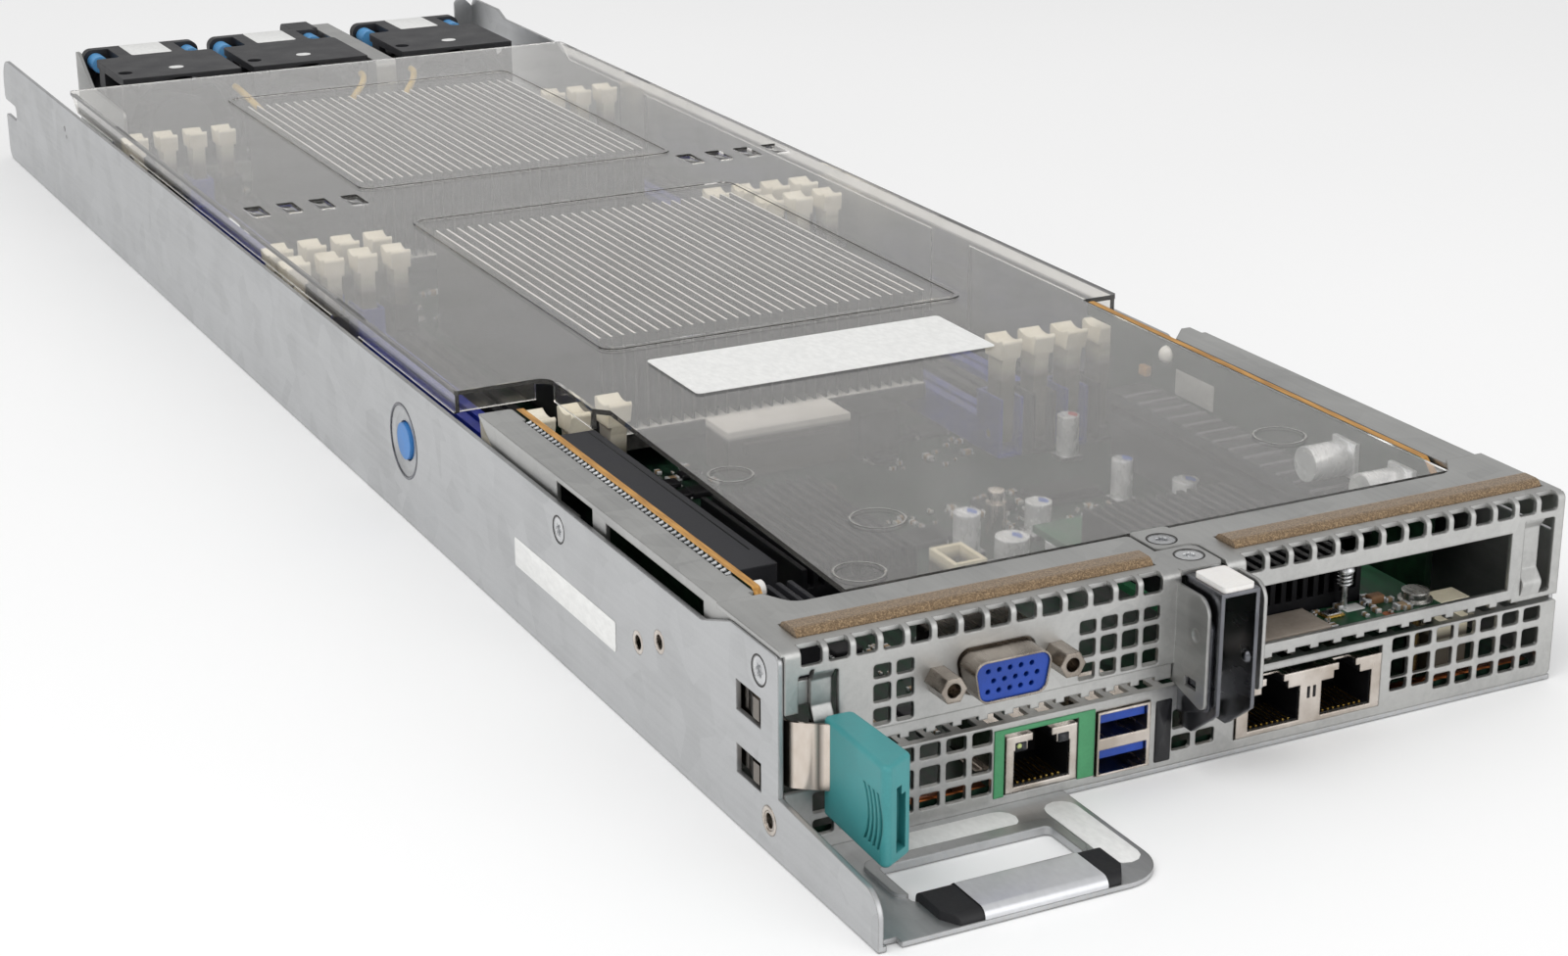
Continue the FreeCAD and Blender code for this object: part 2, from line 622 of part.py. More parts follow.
def riser_bracket_right():
    """Right upper panel with the card opening, its flange, gasket pan, ear and riser rail."""
    front = box(RIGHT_PANEL_LEFT, WIDTH, 0, SHEET, RIGHT_PANEL_LOW - 2.9, PANEL_TOP)
    flange = prism("z", PANEL_TOP - SHEET, PANEL_TOP,
                   [(RIGHT_PANEL_LEFT, 0, 2), (WIDTH, 0, 2), (WIDTH, 26), (167.4, 26), (163, FLANGE_DEPTH, 4),
                    (94.6, FLANGE_DEPTH), (94.6, 21, 1), (86.0, 21, 1), (86.0, 11.2, 2),
                    (RIGHT_PANEL_LEFT, 11.2, 2)])
    pan, pan_space = gasket_pan(GASKET_RIGHT)
    ear = prism("x", RIGHT_EAR, RIGHT_EAR + EAR_SHEET,
                [(SHEET, 38.8), (-8.6, 38.8, 3.5), (-8.6, 16.8, 1), (SHEET, 18.8)])
    x0, x1, z0, z1 = SLOT_OPENING
    strap_x0, strap_x1, low, high = RIGHT_STRAP_OPENING
    holes = [box(x0, x1, -1, 3, z0, z1),
             prism("y", -1, 3, rounded(strap_x0, strap_x1, low, high, HOLE_CORNER)),
             bend_round(RIGHT_PANEL_LEFT, WIDTH)]
    holes += front_notches(98.9, 14)
    for i in range(12):
        x = x0 + GRID_PITCH * i
        holes.append(box(x, x + 3.6, -1, 3, 18, 19.7))
    holes.append(rod(0.7, (167.4, -1, 35.6), (0, 1, 0), 4))
    sheet = cut(join([front, flange, pan, ear, right_rail()]), holes + [pan_space] + flat_head_screws())
    return join([sheet, strap(strap_x0 + 0.2, strap_x1 - RIGHT_STRAP_GAP, low, high, 0.7)])


def top_gaskets():
    """Half-round conductive strips lying in the pans."""
    y0, y1 = GASKET_Y
    section = [(y0, PAN_FLOOR), (y1, PAN_FLOOR), (y1, GASKET_TOP, 1.9), (y0, GASKET_TOP, 1.9)]
    return [prism("x", x0, x1, section) for x0, x1 in (GASKET_LEFT, GASKET_RIGHT)]


# Release latch: spring strip behind the left wall, its anchor and the thumb grip

SPRING_X = 1.75
SPRING_SHEET = 0.5
SPRING_Z = (14.6, 27.4)
SPRING_PIVOT_Y = 46.5
GRIP_Z = (8.8, 28.2)
GRIP_PLAN = [(7.7, -1.8, 1), (6.8, -26.4, 1.2), (14.2, -22.0, 1.5), (13.6, -1.8, 1.5)]
CATCH_GAP = 0.9
CATCH_FACE = 0.2
GROOVE_CENTRE = (-10.5, 17.0)
GROOVE_RADII = (9.5, 11.0, 12.5, 14.0)
GROOVE_HALF = 0.35
GRIP_SLOTS = ((10.0, 12.6, 10.9, 21.5), (10.0, 11.4, 21.4, 23.3))


def spring_anchor():
    """Root of the spring strip, riveted to the inside of the left wall."""
    z0, z1 = SPRING_Z
    y1 = PIVOT_RIVETS[0][0] + 6
    root = box(SHEET, SHEET + SPRING_SHEET + 0.3, SPRING_PIVOT_Y + 0.6, y1, z0, z1)
    return cut(root, [rod(RIVET_RADIUS, (0, y, z), (1, 0, 0), 5) for y, z in PIVOT_RIVETS])


def release_spring():
    """Free length of the strip, with an S-bend out to the grip and two catches in the wall windows."""
    z0, z1 = SPRING_Z
    path = [(SPRING_X, SPRING_PIVOT_Y), (SPRING_X, 0.2), (10.4, -6.4), (10.4, -19.0)]
    pieces = [prism("z", z0, z1, ribbon(path, 3.0, SPRING_SHEET))]
    half = SPRING_SHEET / 2
    for y0, y1, window_low, window_high in LATCH_WINDOWS:
        low = window_low + CATCH_GAP
        high = window_high - CATCH_GAP
        pieces.append(box(SPRING_X - half, SPRING_X + half, y0 - 2, y1 + 2, min(low, z0), max(high, z1)))
        tongue = [(SPRING_X, y1 - 1.2), (CATCH_FACE, y0 + 3.4), (CATCH_FACE, y0 + 1), (SPRING_X, y0 + 1)]
        pieces.append(prism("z", low, high, tongue))
    return join(pieces)


def release_grip():
    """Moulded thumb grip on the end of the spring, with arched grooves on its outer face."""
    z0, z1 = GRIP_Z
    body = prism("z", z0, z1, GRIP_PLAN)
    long_edges = [e for e in body.Edges if e.BoundBox.ZLength < 0.01 and e.Length > 3]
    body = body.makeFillet(0.9, long_edges)
    tools = [box(left, right, -27, -20.5, low, high) for left, right, low, high in GRIP_SLOTS]
    tools.append(release_spring())
    y, z = GROOVE_CENTRE
    for radius in GROOVE_RADII:
        ring = rod(radius + GROOVE_HALF, (5.5, y, z), (1, 0, 0), 2.2)
        ring = ring.cut(rod(radius - GROOVE_HALF, (5.0, y, z), (1, 0, 0), 4))
        tools.append(ring.common(box(4, 9, -26, y, 11.8, 22.6)))
    return cut(body, tools)


def duct_button():
    """Round push button flush with the wall in the dished hole, with a collar behind the sheet."""
    y, z = BUTTON_AT
    face = rod(BUTTON_RADIUS, (0, y, z), (1, 0, 0), BUTTON_LENGTH)
    collar = rod(BUTTON_RADIUS + 1.4, (DISH_DEPTH + SHEET + COLLAR_GAP, y, z), (1, 0, 0), COLLAR_SHEET)
    return join([face, collar])


# Air duct: clear cover over board and heat sinks, lifts off upward

DUCT_TOP = 40.5
DUCT_SHEET = 1.2
DUCT_LEFT = 2.2
DUCT_RIGHT = 174.4
DUCT_FRONT = 21.4
DUCT_REAR = 513.0
DUCT_NOTCH = (24.5, 163.5)
DUCT_INSET_RIGHT = 164.2
DUCT_INSET_REAR = 160.0
DUCT_LABEL = (49.1, 126.0, 136.9, 164.4)
DUCT_HEM = WALL_TOP - 0.4
DUCT_LEGS = ((230.0, 250.0), (440.0, 460.0))
DUCT_LEG_FOOT = SHEET + 0.3
DUCT_WINDOW_WIDTH = 4.8
DUCT_WINDOW_Y = (330.5, 341.5)


def duct_outline():
    notch_x, notch_y = DUCT_NOTCH
    return [(DUCT_LEFT, DUCT_REAR, 2), (DUCT_LEFT, notch_y, 1), (notch_x, notch_y, 3), (notch_x, 138.5),
            (27.5, 135.5), (24.5, DUCT_FRONT), (DUCT_INSET_RIGHT, DUCT_FRONT),
            (DUCT_INSET_RIGHT, DUCT_INSET_REAR, 1), (DUCT_RIGHT, DUCT_INSET_REAR, 1),
            (DUCT_RIGHT, DUCT_REAR, 2)]


def duct_skirt(front):
    """Side of the duct as (y, z): a band under the top with two legs that stand on the tray floor."""
    seam = DUCT_TOP - 1
    corners = [(front, seam), (front, DUCT_HEM)]
    for y0, y1 in DUCT_LEGS:
        corners += [(y0, DUCT_HEM), (y0, DUCT_LEG_FOOT), (y1, DUCT_LEG_FOOT), (y1, DUCT_HEM)]
    return corners + [(503, DUCT_HEM), (509, seam)]


def duct_frame(front):
    """Low raised rim round one heat sink."""
    x0, x1 = SINK_LEFT - 5, SINK_RIGHT + 3
    y0, y1 = front - 14, front + SINK_LENGTH + 6
    outer = prism("z", DUCT_TOP - 0.2, DUCT_TOP + 0.4, rounded(x0, x1, y0, y1, 4))
    return cut(outer, [prism("z", 30, 50, rounded(x0 + 1.2, x1 - 1.2, y0 + 1.2, y1 - 1.2, 3))])


def duct_windows():
    """Openings in the top, one over each socket of the rear memory bank."""
    half = DUCT_WINDOW_WIDTH / 2
    outlines = [rounded(x - half, x + half, *DUCT_WINDOW_Y, HOLE_CORNER) for x in socket_columns()]
    return [prism("z", DUCT_TOP - 2 * DUCT_SHEET, DUCT_TOP + 1, outline) for outline in outlines]


def air_duct():
    """Thin clear sheet with turned-down sides and a cut-out corner for the left riser."""
    notch_x, notch_y = DUCT_NOTCH
    top = cut(prism("z", DUCT_TOP - DUCT_SHEET, DUCT_TOP, duct_outline()), duct_windows())
    left = prism("x", DUCT_LEFT, DUCT_LEFT + DUCT_SHEET, duct_skirt(notch_y + 1))
    right = prism("x", DUCT_RIGHT - DUCT_SHEET, DUCT_RIGHT, duct_skirt(DUCT_INSET_REAR + 1))
    notch_back = box(DUCT_LEFT, notch_x - 3, notch_y, notch_y + DUCT_SHEET, 35.6, DUCT_TOP - 1)
    notch_side = box(notch_x, notch_x + DUCT_SHEET, 139, notch_y - 3, 35.6, DUCT_TOP - 1)
    frames = [duct_frame(front) for front in SINK_FRONTS]
    return join([top, left, right, notch_back, notch_side] + frames)


def duct_label():
    x0, x1, y0, y1 = DUCT_LABEL
    return prism("z", DUCT_TOP, DUCT_TOP + PAPER, rounded(x0, x1, y0, y1, 1.2))


# Screws that hold the boards

MEZZ_BOTTOM = 19.0
MEZZ_TOP = 20.6
MEZZ_SCREWS = ((145.8, 6.8), (143.0, 67.0))
BOARD_SCREWS = ((24.0, 150.0), (88.0, 150.0), (88.0, 312.0), (24.0, 490.0), (152.0, 490.0))
PAN_HEAD_RADIUS = 2.8
PAN_HEAD_HEIGHT = 2.4
PAN_SHANK_RADIUS = 1.5
WASHER_RADIUS = 3.5
WASHER_HEIGHT = 0.7


def pan_head(x, y, z, shank):
    """Screw with a fixed washer under its head."""
    washer = rod(WASHER_RADIUS, (x, y, z), (0, 0, 1), WASHER_HEIGHT)
    head = rod(PAN_HEAD_RADIUS, (x, y, z), (0, 0, 1), PAN_HEAD_HEIGHT)
    return join([washer, head, rod(PAN_SHANK_RADIUS, (x, y, z - shank), (0, 0, 1), shank)])


def pan_head_screws():
    """Short screws in the main board, and long ones that also space the upper card from it."""
    screws = [pan_head(x, y, MEZZ_TOP, MEZZ_TOP - BOARD_TOP) for x, y in MEZZ_SCREWS]
    screws += [pan_head(x, y, BOARD_TOP, 0.4) for x, y in BOARD_SCREWS]
    return screws


# Main board and what stands on it

BOARD_SPAN = (4.0, 172.5, 2.0, 508.0)
SUNK_PLAY = 0.3


def main_board():
    """Board with a cut-out in its front edge for each sunk port housing."""
    x0, x1, y0, y1 = BOARD_SPAN
    tools = pan_head_screws()
    for (left, right), depth in ((LAN_SPAN, LAN_DEPTH), (USB_SPAN, USB_HOUSING), (TWIN_SPAN, LAN_DEPTH)):
        tools.append(box(left - SUNK_PLAY, right + SUNK_PLAY, y0 - 1, depth + SUNK_PLAY, 0, BOARD_TOP + 1))
    return cut(box(x0, x1, y0, y1, BOARD_BOTTOM, BOARD_TOP), tools)


CPU_FRAME = (54.0, 131.0, 76.0, 4.0)
CPU_PACKAGE = (62.0, 123.0, 54.0, 1.6)


def cpu_sockets():
    """Frame and package under each heat sink, each as left, right, depth and height."""
    sockets = []
    for front in SINK_FRONTS:
        middle = front + SINK_LENGTH / 2
        level = BOARD_TOP
        layers = []
        for x0, x1, depth, height in (CPU_FRAME, CPU_PACKAGE):
            layers.append(box(x0, x1, middle - depth / 2, middle + depth / 2, level, level + height))
            level += height
        sockets.append(join(layers))
    return Part.makeCompound(sockets)


SINK_FLOOR = BOARD_TOP + CPU_FRAME[3] + CPU_PACKAGE[3]
SINK_BASE = 4.0
SINK_TOP = 38.0
FIN_COUNT = 30
FIN_SHEET = 0.6


def heat_sink(front):
    """Base plate with upright fins that run along the air flow."""
    rear = front + SINK_LENGTH
    base_top = SINK_FLOOR + SINK_BASE
    pieces = [box(SINK_LEFT, SINK_RIGHT, front, rear, SINK_FLOOR, base_top)]
    pitch = (SINK_RIGHT - SINK_LEFT - FIN_SHEET) / (FIN_COUNT - 1)
    for i in range(FIN_COUNT):
        x = SINK_LEFT + pitch * i
        pieces.append(box(x, x + FIN_SHEET, front + 1, rear - 1, base_top, SINK_TOP))
    return join(pieces)


SOCKET_WIDTH = 6.6
SOCKET_MID = BOARD_TOP + 8.0
SOCKET_TOWER = BOARD_TOP + 15.0
TOWER_HALF = 5.5
FORK_HALF = 4.4
LATCH_WIDTH = 4.0
LATCH_SIDE_PLAY = 0.4
LATCH_HALF = 2.6
LATCH_PIVOT_Z = BOARD_TOP + 5.0
LATCH_TOP = 34.0
LATCH_HEAD = 5.6
LATCH_HEAD_LOW = LATCH_TOP - 5
THUMB_RADIUS = 7.0
THUMB_DEPTH = 1.0
TRUNNION_RADIUS = 1.0
TRUNNION_PLAY = 0.05
TRUNNION_LENGTH = SOCKET_WIDTH - 0.4


def socket_columns():
    """Centre lines of the memory sockets across the board, left bank then right bank."""
    columns = []
    for first in (SOCKET_LEFT, SOCKET_RIGHT):
        columns += [first + SOCKET_PITCH * i for i in range(SOCKETS_PER_SIDE)]
    return columns


def trunnion(x, end, radius, length):
    """Cross pin a latch turns on, or with a larger radius the hole for it."""
    return rod(radius, (x - length / 2, end, LATCH_PIVOT_Z), (1, 0, 0), length)


def dimm_socket(x, front):
    """Slotted body with a forked tower at each end that holds the latch."""
    half = SOCKET_WIDTH / 2
    fork = LATCH_WIDTH / 2 + LATCH_SIDE_PLAY
    rear = front + LATCH_SPAN
    solids = [box(x - half, x + half, front + 5, rear - 5, BOARD_TOP, SOCKET_MID)]
    tools = [box(x - 0.7, x + 0.7, front + 8, rear - 8, BOARD_TOP + 3, SOCKET_MID + 1)]
    for end, outward in ((front, -1), (rear, 1)):
        solids.append(box(x - half, x + half, end - TOWER_HALF, end + TOWER_HALF, BOARD_TOP, SOCKET_TOWER))
        low = end - FORK_HALF + min(outward * 2, 0)
        high = end + FORK_HALF + max(outward * 2, 0)
        tools.append(box(x - fork, x + fork, low, high, BOARD_TOP + 1, SOCKET_TOWER + 1))
        tools.append(trunnion(x, end, TRUNNION_RADIUS + TRUNNION_PLAY, SOCKET_WIDTH + 1))
    return cut(join(solids), tools)


def dimm_sockets(parity):
    """Every second socket across the board, in both banks."""
    sockets = []
    for front in BANK_FRONTS:
        sockets += [dimm_socket(x, front) for x in socket_columns()[parity::2]]
    return Part.makeCompound(sockets)


def latch(x, end, outward):
    """Lever at a socket end, seen from the side as (y, z), with a wide hollowed thumb tab and cross pins."""
    low = LATCH_PIVOT_Z - 2.4
    waist = LATCH_TOP - 7
    inner = end - outward * LATCH_HALF
    outer = end + outward * LATCH_HALF
    crown = [(outer + outward * 2.8, LATCH_TOP, 0.8), (inner - outward * 0.8, LATCH_TOP, 0.8)]
    stem = [(inner, waist), (inner, low, 1.2), (outer, low, 1.2), (outer + outward, waist)]
    neck = [(inner - outward * 0.2, LATCH_HEAD_LOW), (outer + outward * 1.6, LATCH_HEAD_LOW)]
    lever = prism("x", x - LATCH_WIDTH / 2, x + LATCH_WIDTH / 2, stem + crown)
    head = prism("x", x - LATCH_HEAD / 2, x + LATCH_HEAD / 2, neck + crown)
    hollow = rod(THUMB_RADIUS, (x - LATCH_HEAD, end + outward, LATCH_TOP + THUMB_RADIUS - THUMB_DEPTH),
                 (1, 0, 0), 2 * LATCH_HEAD)
    return join([cut(join([lever, head]), [hollow]), trunnion(x, end, TRUNNION_RADIUS, TRUNNION_LENGTH)])


def latch_row(end, outward):
    return Part.makeCompound([latch(x, end, outward) for x in socket_columns()])


POWER_BLOCK = (73.0, 106.0, 171.0, 183.5)
POWER_TOP = 16.2


def power_connector():
    """White plug housing with a shallow lip along its front."""
    x0, x1, y0, y1 = POWER_BLOCK
    block = box(x0, x1, y0, y1, BOARD_TOP, POWER_TOP)
    lip = box(x0 + 4, x1 - 4, y0 - 1.5, y0, BOARD_TOP + 6, POWER_TOP - 3)
    return join([block, lip])


BOARD_CANS = ((153.0, 147.0, 2.8, 10.0), (99.1, 103.5, 3.2, 8.8), (119.4, 106.2, 3.2, 7.0),
              (103.6, 91.5, 4.0, 6.4), (110.5, 83.1, 3.2, 7.0), (148.0, 115.6, 2.6, 9.4),
              (154.7, 99.4, 3.2, 8.4))
RISER_CANS = ((36.0, 32.0), (55.0, 32.0))
RISER_CAN_RADIUS = 4.0
RISER_CAN_LENGTH = 10.0
CAN_FOOT = 1.2


def board_capacitors():
    """Can capacitors: upright ones on the board and two that lie on the right riser card."""
    shapes = []
    for x, y, radius, height in BOARD_CANS:
        foot = box(x - radius, x + radius, y - radius, y + radius, BOARD_TOP, BOARD_TOP + CAN_FOOT)
        shapes.append(join([foot, rod(radius - 0.1, (x, y, BOARD_TOP + CAN_FOOT), (0, 0, 1), height)]))
    radius = RISER_CAN_RADIUS
    for y, z in RISER_CANS:
        foot = box(RIGHT_CARD_X - CAN_FOOT, RIGHT_CARD_X, y - radius, y + radius, z - radius, z + radius)
        can = rod(radius - 0.1, (RIGHT_CARD_X - CAN_FOOT, y, z), (-1, 0, 0), RISER_CAN_LENGTH)
        shapes.append(join([foot, can]))
    return Part.makeCompound(shapes)


CHIP = (128.0, 147.0, 120.7, 130.5)
CHOKE = (107.5, 118.5, 169.0, 181.0, 16.0)


def board_chips():
    """Chip package, a thin carrier with a smaller moulded cap, and the moulded block of a choke."""
    x0, x1, y0, y1 = CHIP
    carrier = box(x0, x1, y0, y1, BOARD_TOP, BOARD_TOP + 1.0)
    cap = box(x0 + 1, x1 - 1, y0 + 1, y1 - 1, BOARD_TOP + 1.0, BOARD_TOP + 2.2)
    x0, x1, y0, y1, top = CHOKE
    choke = prism("z", BOARD_TOP, top, rounded(x0, x1, y0, y1, HOLE_CORNER))
    return Part.makeCompound([join([carrier, cap]), choke])


FAN_PLUGS = ((66.0, 497.0), (86.0, 497.0), (106.0, 497.0))
FAN_PLUG_TOP = BOARD_TOP + 7.0
WIRE_PLUG = (80.0, 88.0, 76.0, 87.0, 15.0)
STACK_PLUG = (138.0, 145.0, 24.0, 62.0, MEZZ_BOTTOM)
FRONT_PLUG = (150.0, 158.6, 5.4, 11.0, 19.6)


def board_connectors():
    """Ivory wire-to-board and stacking connectors."""
    shapes = [box(x - 5, x + 5, y - 3, y + 3, BOARD_TOP, FAN_PLUG_TOP) for x, y in FAN_PLUGS]
    for x0, x1, y0, y1, top in (STACK_PLUG, FRONT_PLUG):
        shapes.append(box(x0, x1, y0, y1, BOARD_TOP, top))
    x0, x1, y0, y1, top = WIRE_PLUG
    mouth = box(x0 + 1, x1 - 1, y0 + 1, y1 - 1, BOARD_TOP + 4, top + 1)
    shapes.append(cut(box(x0, x1, y0, y1, BOARD_TOP, top), [mouth]))
    return Part.makeCompound(shapes)


# Riser cards, their slots and board connectors

RISER_TOP = 40.2
RISER_FOOT = BOARD_TOP + 4
RISER_FRONT = 27.0
RISER_SHEET = 1.7
LEFT_CARD_X = 10.0
RIGHT_CARD_X = 165.0
SLOT_SPAN = (45.0, 132.6)
SLOT_HEIGHT = 7.8
SLOT_DEPTH = 7.0
LEFT_SLOT = (LEFT_CARD_X + RISER_SHEET, 22.4, 30.0)
RIGHT_SLOT = (154.0, RIGHT_CARD_X, 18.4)


def riser_front():
    """Upper front corner of a riser card, nipped off."""
    return [(RISER_FRONT + 4, RISER_TOP, 1), (RISER_FRONT, RISER_TOP - 4, 1)]


def riser_card_left():
    rear = 146.6
    return prism("x", LEFT_CARD_X, LEFT_CARD_X + RISER_SHEET,
                 [(RISER_FRONT, RISER_FOOT), (rear, RISER_FOOT), (rear, RISER_TOP)] + riser_front())


def riser_card_right():
    rear = 148.0
    tail = 158.5
    return prism("x", RIGHT_CARD_X, RIGHT_CARD_X + RISER_SHEET,
                 [(RISER_FRONT, RISER_FOOT), (rear, RISER_FOOT), (rear, 36), (tail, 36), (tail, RISER_TOP)]
                 + riser_front())


def riser_slot(x0, x1, z0, mouth_x0, mouth_x1):
    """Card slot lying sideways on a riser, with its mouth towards the middle of the node."""
    y0, y1 = SLOT_SPAN
    middle = z0 + SLOT_HEIGHT / 2
    mouth = box(mouth_x0, mouth_x1, y0 + 3, y1 - 2.6, middle - 0.9, middle + 0.9)
    return cut(box(x0, x1, y0, y1, z0, z0 + SLOT_HEIGHT), [mouth])


def riser_slots():
    left_x0, left_x1, left_z = LEFT_SLOT
    right_x0, right_x1, right_z = RIGHT_SLOT
    left = riser_slot(left_x0, left_x1, left_z, left_x1 - SLOT_DEPTH, left_x1 + 1)
    right = riser_slot(right_x0, right_x1, right_z, right_x0 - 1, right_x0 + SLOT_DEPTH)
    return Part.makeCompound([left, right])


def riser_board_connectors():
    """Upright connectors on the main board that take the feet of the riser cards."""
    shapes = []
    for x, card in ((LEFT_CARD_X, riser_card_left()), (RIGHT_CARD_X, riser_card_right())):
        middle = x + RISER_SHEET / 2
        block = box(middle - 3.6, middle + 3.6, 54, 142, BOARD_TOP, BOARD_TOP + 9)
        shapes.append(block.cut(card))
    return Part.makeCompound(shapes)


GUIDE_BLOCK = (LEFT_CARD_X + RISER_SHEET + 0.6, 24.0, 27.2, 40.0)
GUIDE_BLOCK_Z = (18.0, 31.0, 36.0)
GUIDE_RIB_PITCH = 2.4


def card_guide():
    """Black block at the front end of the left riser, with upright ribs that guide a card edge."""
    x0, x1, y0, y1 = GUIDE_BLOCK
    low, shelf, top = GUIDE_BLOCK_Z
    pieces = [box(x0, x1, y0, y1, low, shelf)]
    for i in range(4):
        x = x0 + GUIDE_RIB_PITCH * (i + 1)
        pieces.append(box(x, x + 1, y0, y1, shelf, top))
    return join(pieces)


# Upper card behind the wide opening of the right panel

MEZZ_SPAN = (99.0, 149.6, 1.4, 76.0)
PAD_SPAN = (100.0, 121.3, 1.6, 11.2)
PAD_HEIGHT = 1.4
MEZZ_SINK = (101.0, 136.0, 12.0, 60.0)
MEZZ_SINK_TOP = 29.4
CHIPSET_SINK = (52.0, 80.0, 92.0, 142.0)
CHIPSET_SINK_TOP = 14.0
CHIPSET_HEIGHT = 2.2
CHIPSET_INSET = 8.0
SINK_PLATE = 3.0
BLACK_FIN_PITCH = 2.6
BLACK_FIN_SHEET = 1.2


def mezzanine_card():
    x0, x1, y0, y1 = MEZZ_SPAN
    holes = [rod(PAN_SHANK_RADIUS + 0.1, (x, y, 0), (0, 0, 1), MEZZ_TOP + 1) for x, y in MEZZ_SCREWS]
    return cut(box(x0, x1, y0, y1, MEZZ_BOTTOM, MEZZ_TOP), holes)


def mezzanine_pad():
    x0, x1, y0, y1 = PAD_SPAN
    return box(x0, x1, y0, y1, MEZZ_TOP, MEZZ_TOP + PAD_HEIGHT)


def black_fins(span, floor, top):
    """Base plate with fins that run from front to rear."""
    x0, x1, y0, y1 = span
    pieces = [box(x0, x1, y0, y1, floor, floor + SINK_PLATE)]
    gaps = round((x1 - x0 - BLACK_FIN_SHEET) / BLACK_FIN_PITCH)
    for i in range(gaps + 1):
        x = x0 + (x1 - x0 - BLACK_FIN_SHEET) * i / gaps
        pieces.append(box(x, x + BLACK_FIN_SHEET, y0, y1, floor + SINK_PLATE, top))
    return join(pieces)


def black_heat_sinks():
    """Heat sink of the upper card, and a low one on its chip on the main board."""
    x0, x1, y0, y1 = CHIPSET_SINK
    chip = box(x0 + CHIPSET_INSET, x1 - CHIPSET_INSET, y0 + 2 * CHIPSET_INSET, y1 - 2 * CHIPSET_INSET,
               BOARD_TOP, BOARD_TOP + CHIPSET_HEIGHT)
    low = join([chip, black_fins(CHIPSET_SINK, BOARD_TOP + CHIPSET_HEIGHT, CHIPSET_SINK_TOP)])
    return Part.makeCompound([black_fins(MEZZ_SINK, MEZZ_TOP, MEZZ_SINK_TOP), low])


# Ports on the panels

LAN_Z = (3.2, 14.6)
LAN_DEPTH = 20.0
LAN_FACE = -0.3
LAN_WALL = 0.4
PLUG_SIZE = (12.2, 7.4)
PLUG_DEPTH = 12.0
PLUG_FLOOR = LAN_Z[0] + 1.0
KEY_SIZES = ((6.4, 1.6), (4.2, 1.4))
LAN_SPAN = (46.7, 62.0)
TWIN_SPAN = (98.4, 132.6)
LAN_MIDDLES = (54.4,)
TWIN_MIDDLES = (107.1, 124.3)
EAR_SPAN = (8.0, 14.0)
EAR_REACH = 1.6


def plug_space(middle, floor, depth):
    """Stepped opening of a network jack, wide below and keyed above."""
    width, height = PLUG_SIZE
    steps = [box(middle - width / 2, middle + width / 2, -2, depth, floor, floor + height)]
    level = floor + height
    for key_width, key_height in KEY_SIZES:
        half = key_width / 2
        steps.append(box(middle - half, middle + half, -2, depth, level - 0.1, level + key_height))
        level += key_height
    return join(steps)


def board_ears(span):
    """Tabs of a sunk port housing that lie on the board at both sides of its cut-out."""
    y0, y1 = EAR_SPAN
    top = BOARD_TOP + LAN_WALL
    left, right = span
    return [box(left - EAR_REACH, left, y0, y1, BOARD_TOP, top),
            box(right, right + EAR_REACH, y0, y1, BOARD_TOP, top)]


def lan_housing(span, middles):
    """Folded metal shield round the jacks, open below and where the plugs go in."""
    x0, x1 = span
    z0, z1 = LAN_Z
    shield = box(x0, x1, LAN_FACE, LAN_DEPTH, z0, z1)
    hollow = box(x0 + LAN_WALL, x1 - LAN_WALL, -LAN_FACE, LAN_DEPTH + 1, z0 - 1, z1 - LAN_WALL)
    tools = [hollow] + [plug_space(x, PLUG_FLOOR, 2) for x in middles]
    return join([cut(shield, tools)] + board_ears(span))


def lan_cores():
    """Black jack bodies inside the shields."""
    cores = []
    for (x0, x1), middles in ((LAN_SPAN, LAN_MIDDLES), (TWIN_SPAN, TWIN_MIDDLES)):
        block = box(x0 + LAN_WALL, x1 - LAN_WALL, -LAN_FACE, LAN_DEPTH, LAN_Z[0], LAN_Z[1] - LAN_WALL)
        cores.append(cut(block, [plug_space(x, PLUG_FLOOR + 0.1, PLUG_DEPTH) for x in middles]))
    return Part.makeCompound(cores)


SURROUND = (44.2, 66.0, 2.7, 16.4)


def port_surround():
    """Green sheet round the single network port, open below."""
    x0, x1, z0, z1 = LAN_OPENING
    left, right, low, high = SURROUND
    return cut(box(left, right, -0.2, 0, low, high), [box(x0, x1, -1, 1, low - 1, z1)])


USB_SPAN = (66.5, 78.2)
USB_Z = (2.4, 15.5)
USB_FACE = -0.6
USB_HOUSING = 17.0
USB_MOUTH_FLOORS = (2.8, 10.1)
USB_MOUTH_HEIGHT = 5.0
USB_DEPTH = 13.0
TONGUE_RISE = 2.9
TONGUE_HEIGHT = 1.8


def usb_shell():
    """Metal housing of two stacked ports, sunk into the board."""
    x0, x1 = USB_SPAN
    z0, z1 = USB_Z
    shell = box(x0, x1, USB_FACE, USB_HOUSING, z0, z1)
    mouths = [box(x0 + 0.4, x1 - 0.7, -2, USB_DEPTH, z, z + USB_MOUTH_HEIGHT) for z in USB_MOUTH_FLOORS]
    return join([cut(shell, mouths)] + board_ears(USB_SPAN))


def usb_core():
    """Blue contact tongues, one in each mouth, held by the back of the housing."""
    x0, x1 = USB_SPAN
    tongues = []
    for floor in USB_MOUTH_FLOORS:
        z = floor + TONGUE_RISE
        tongues.append(box(x0 + 0.6, x1 - 0.9, 0.2, USB_DEPTH, z, z + TONGUE_HEIGHT))
    return Part.makeCompound(tongues)


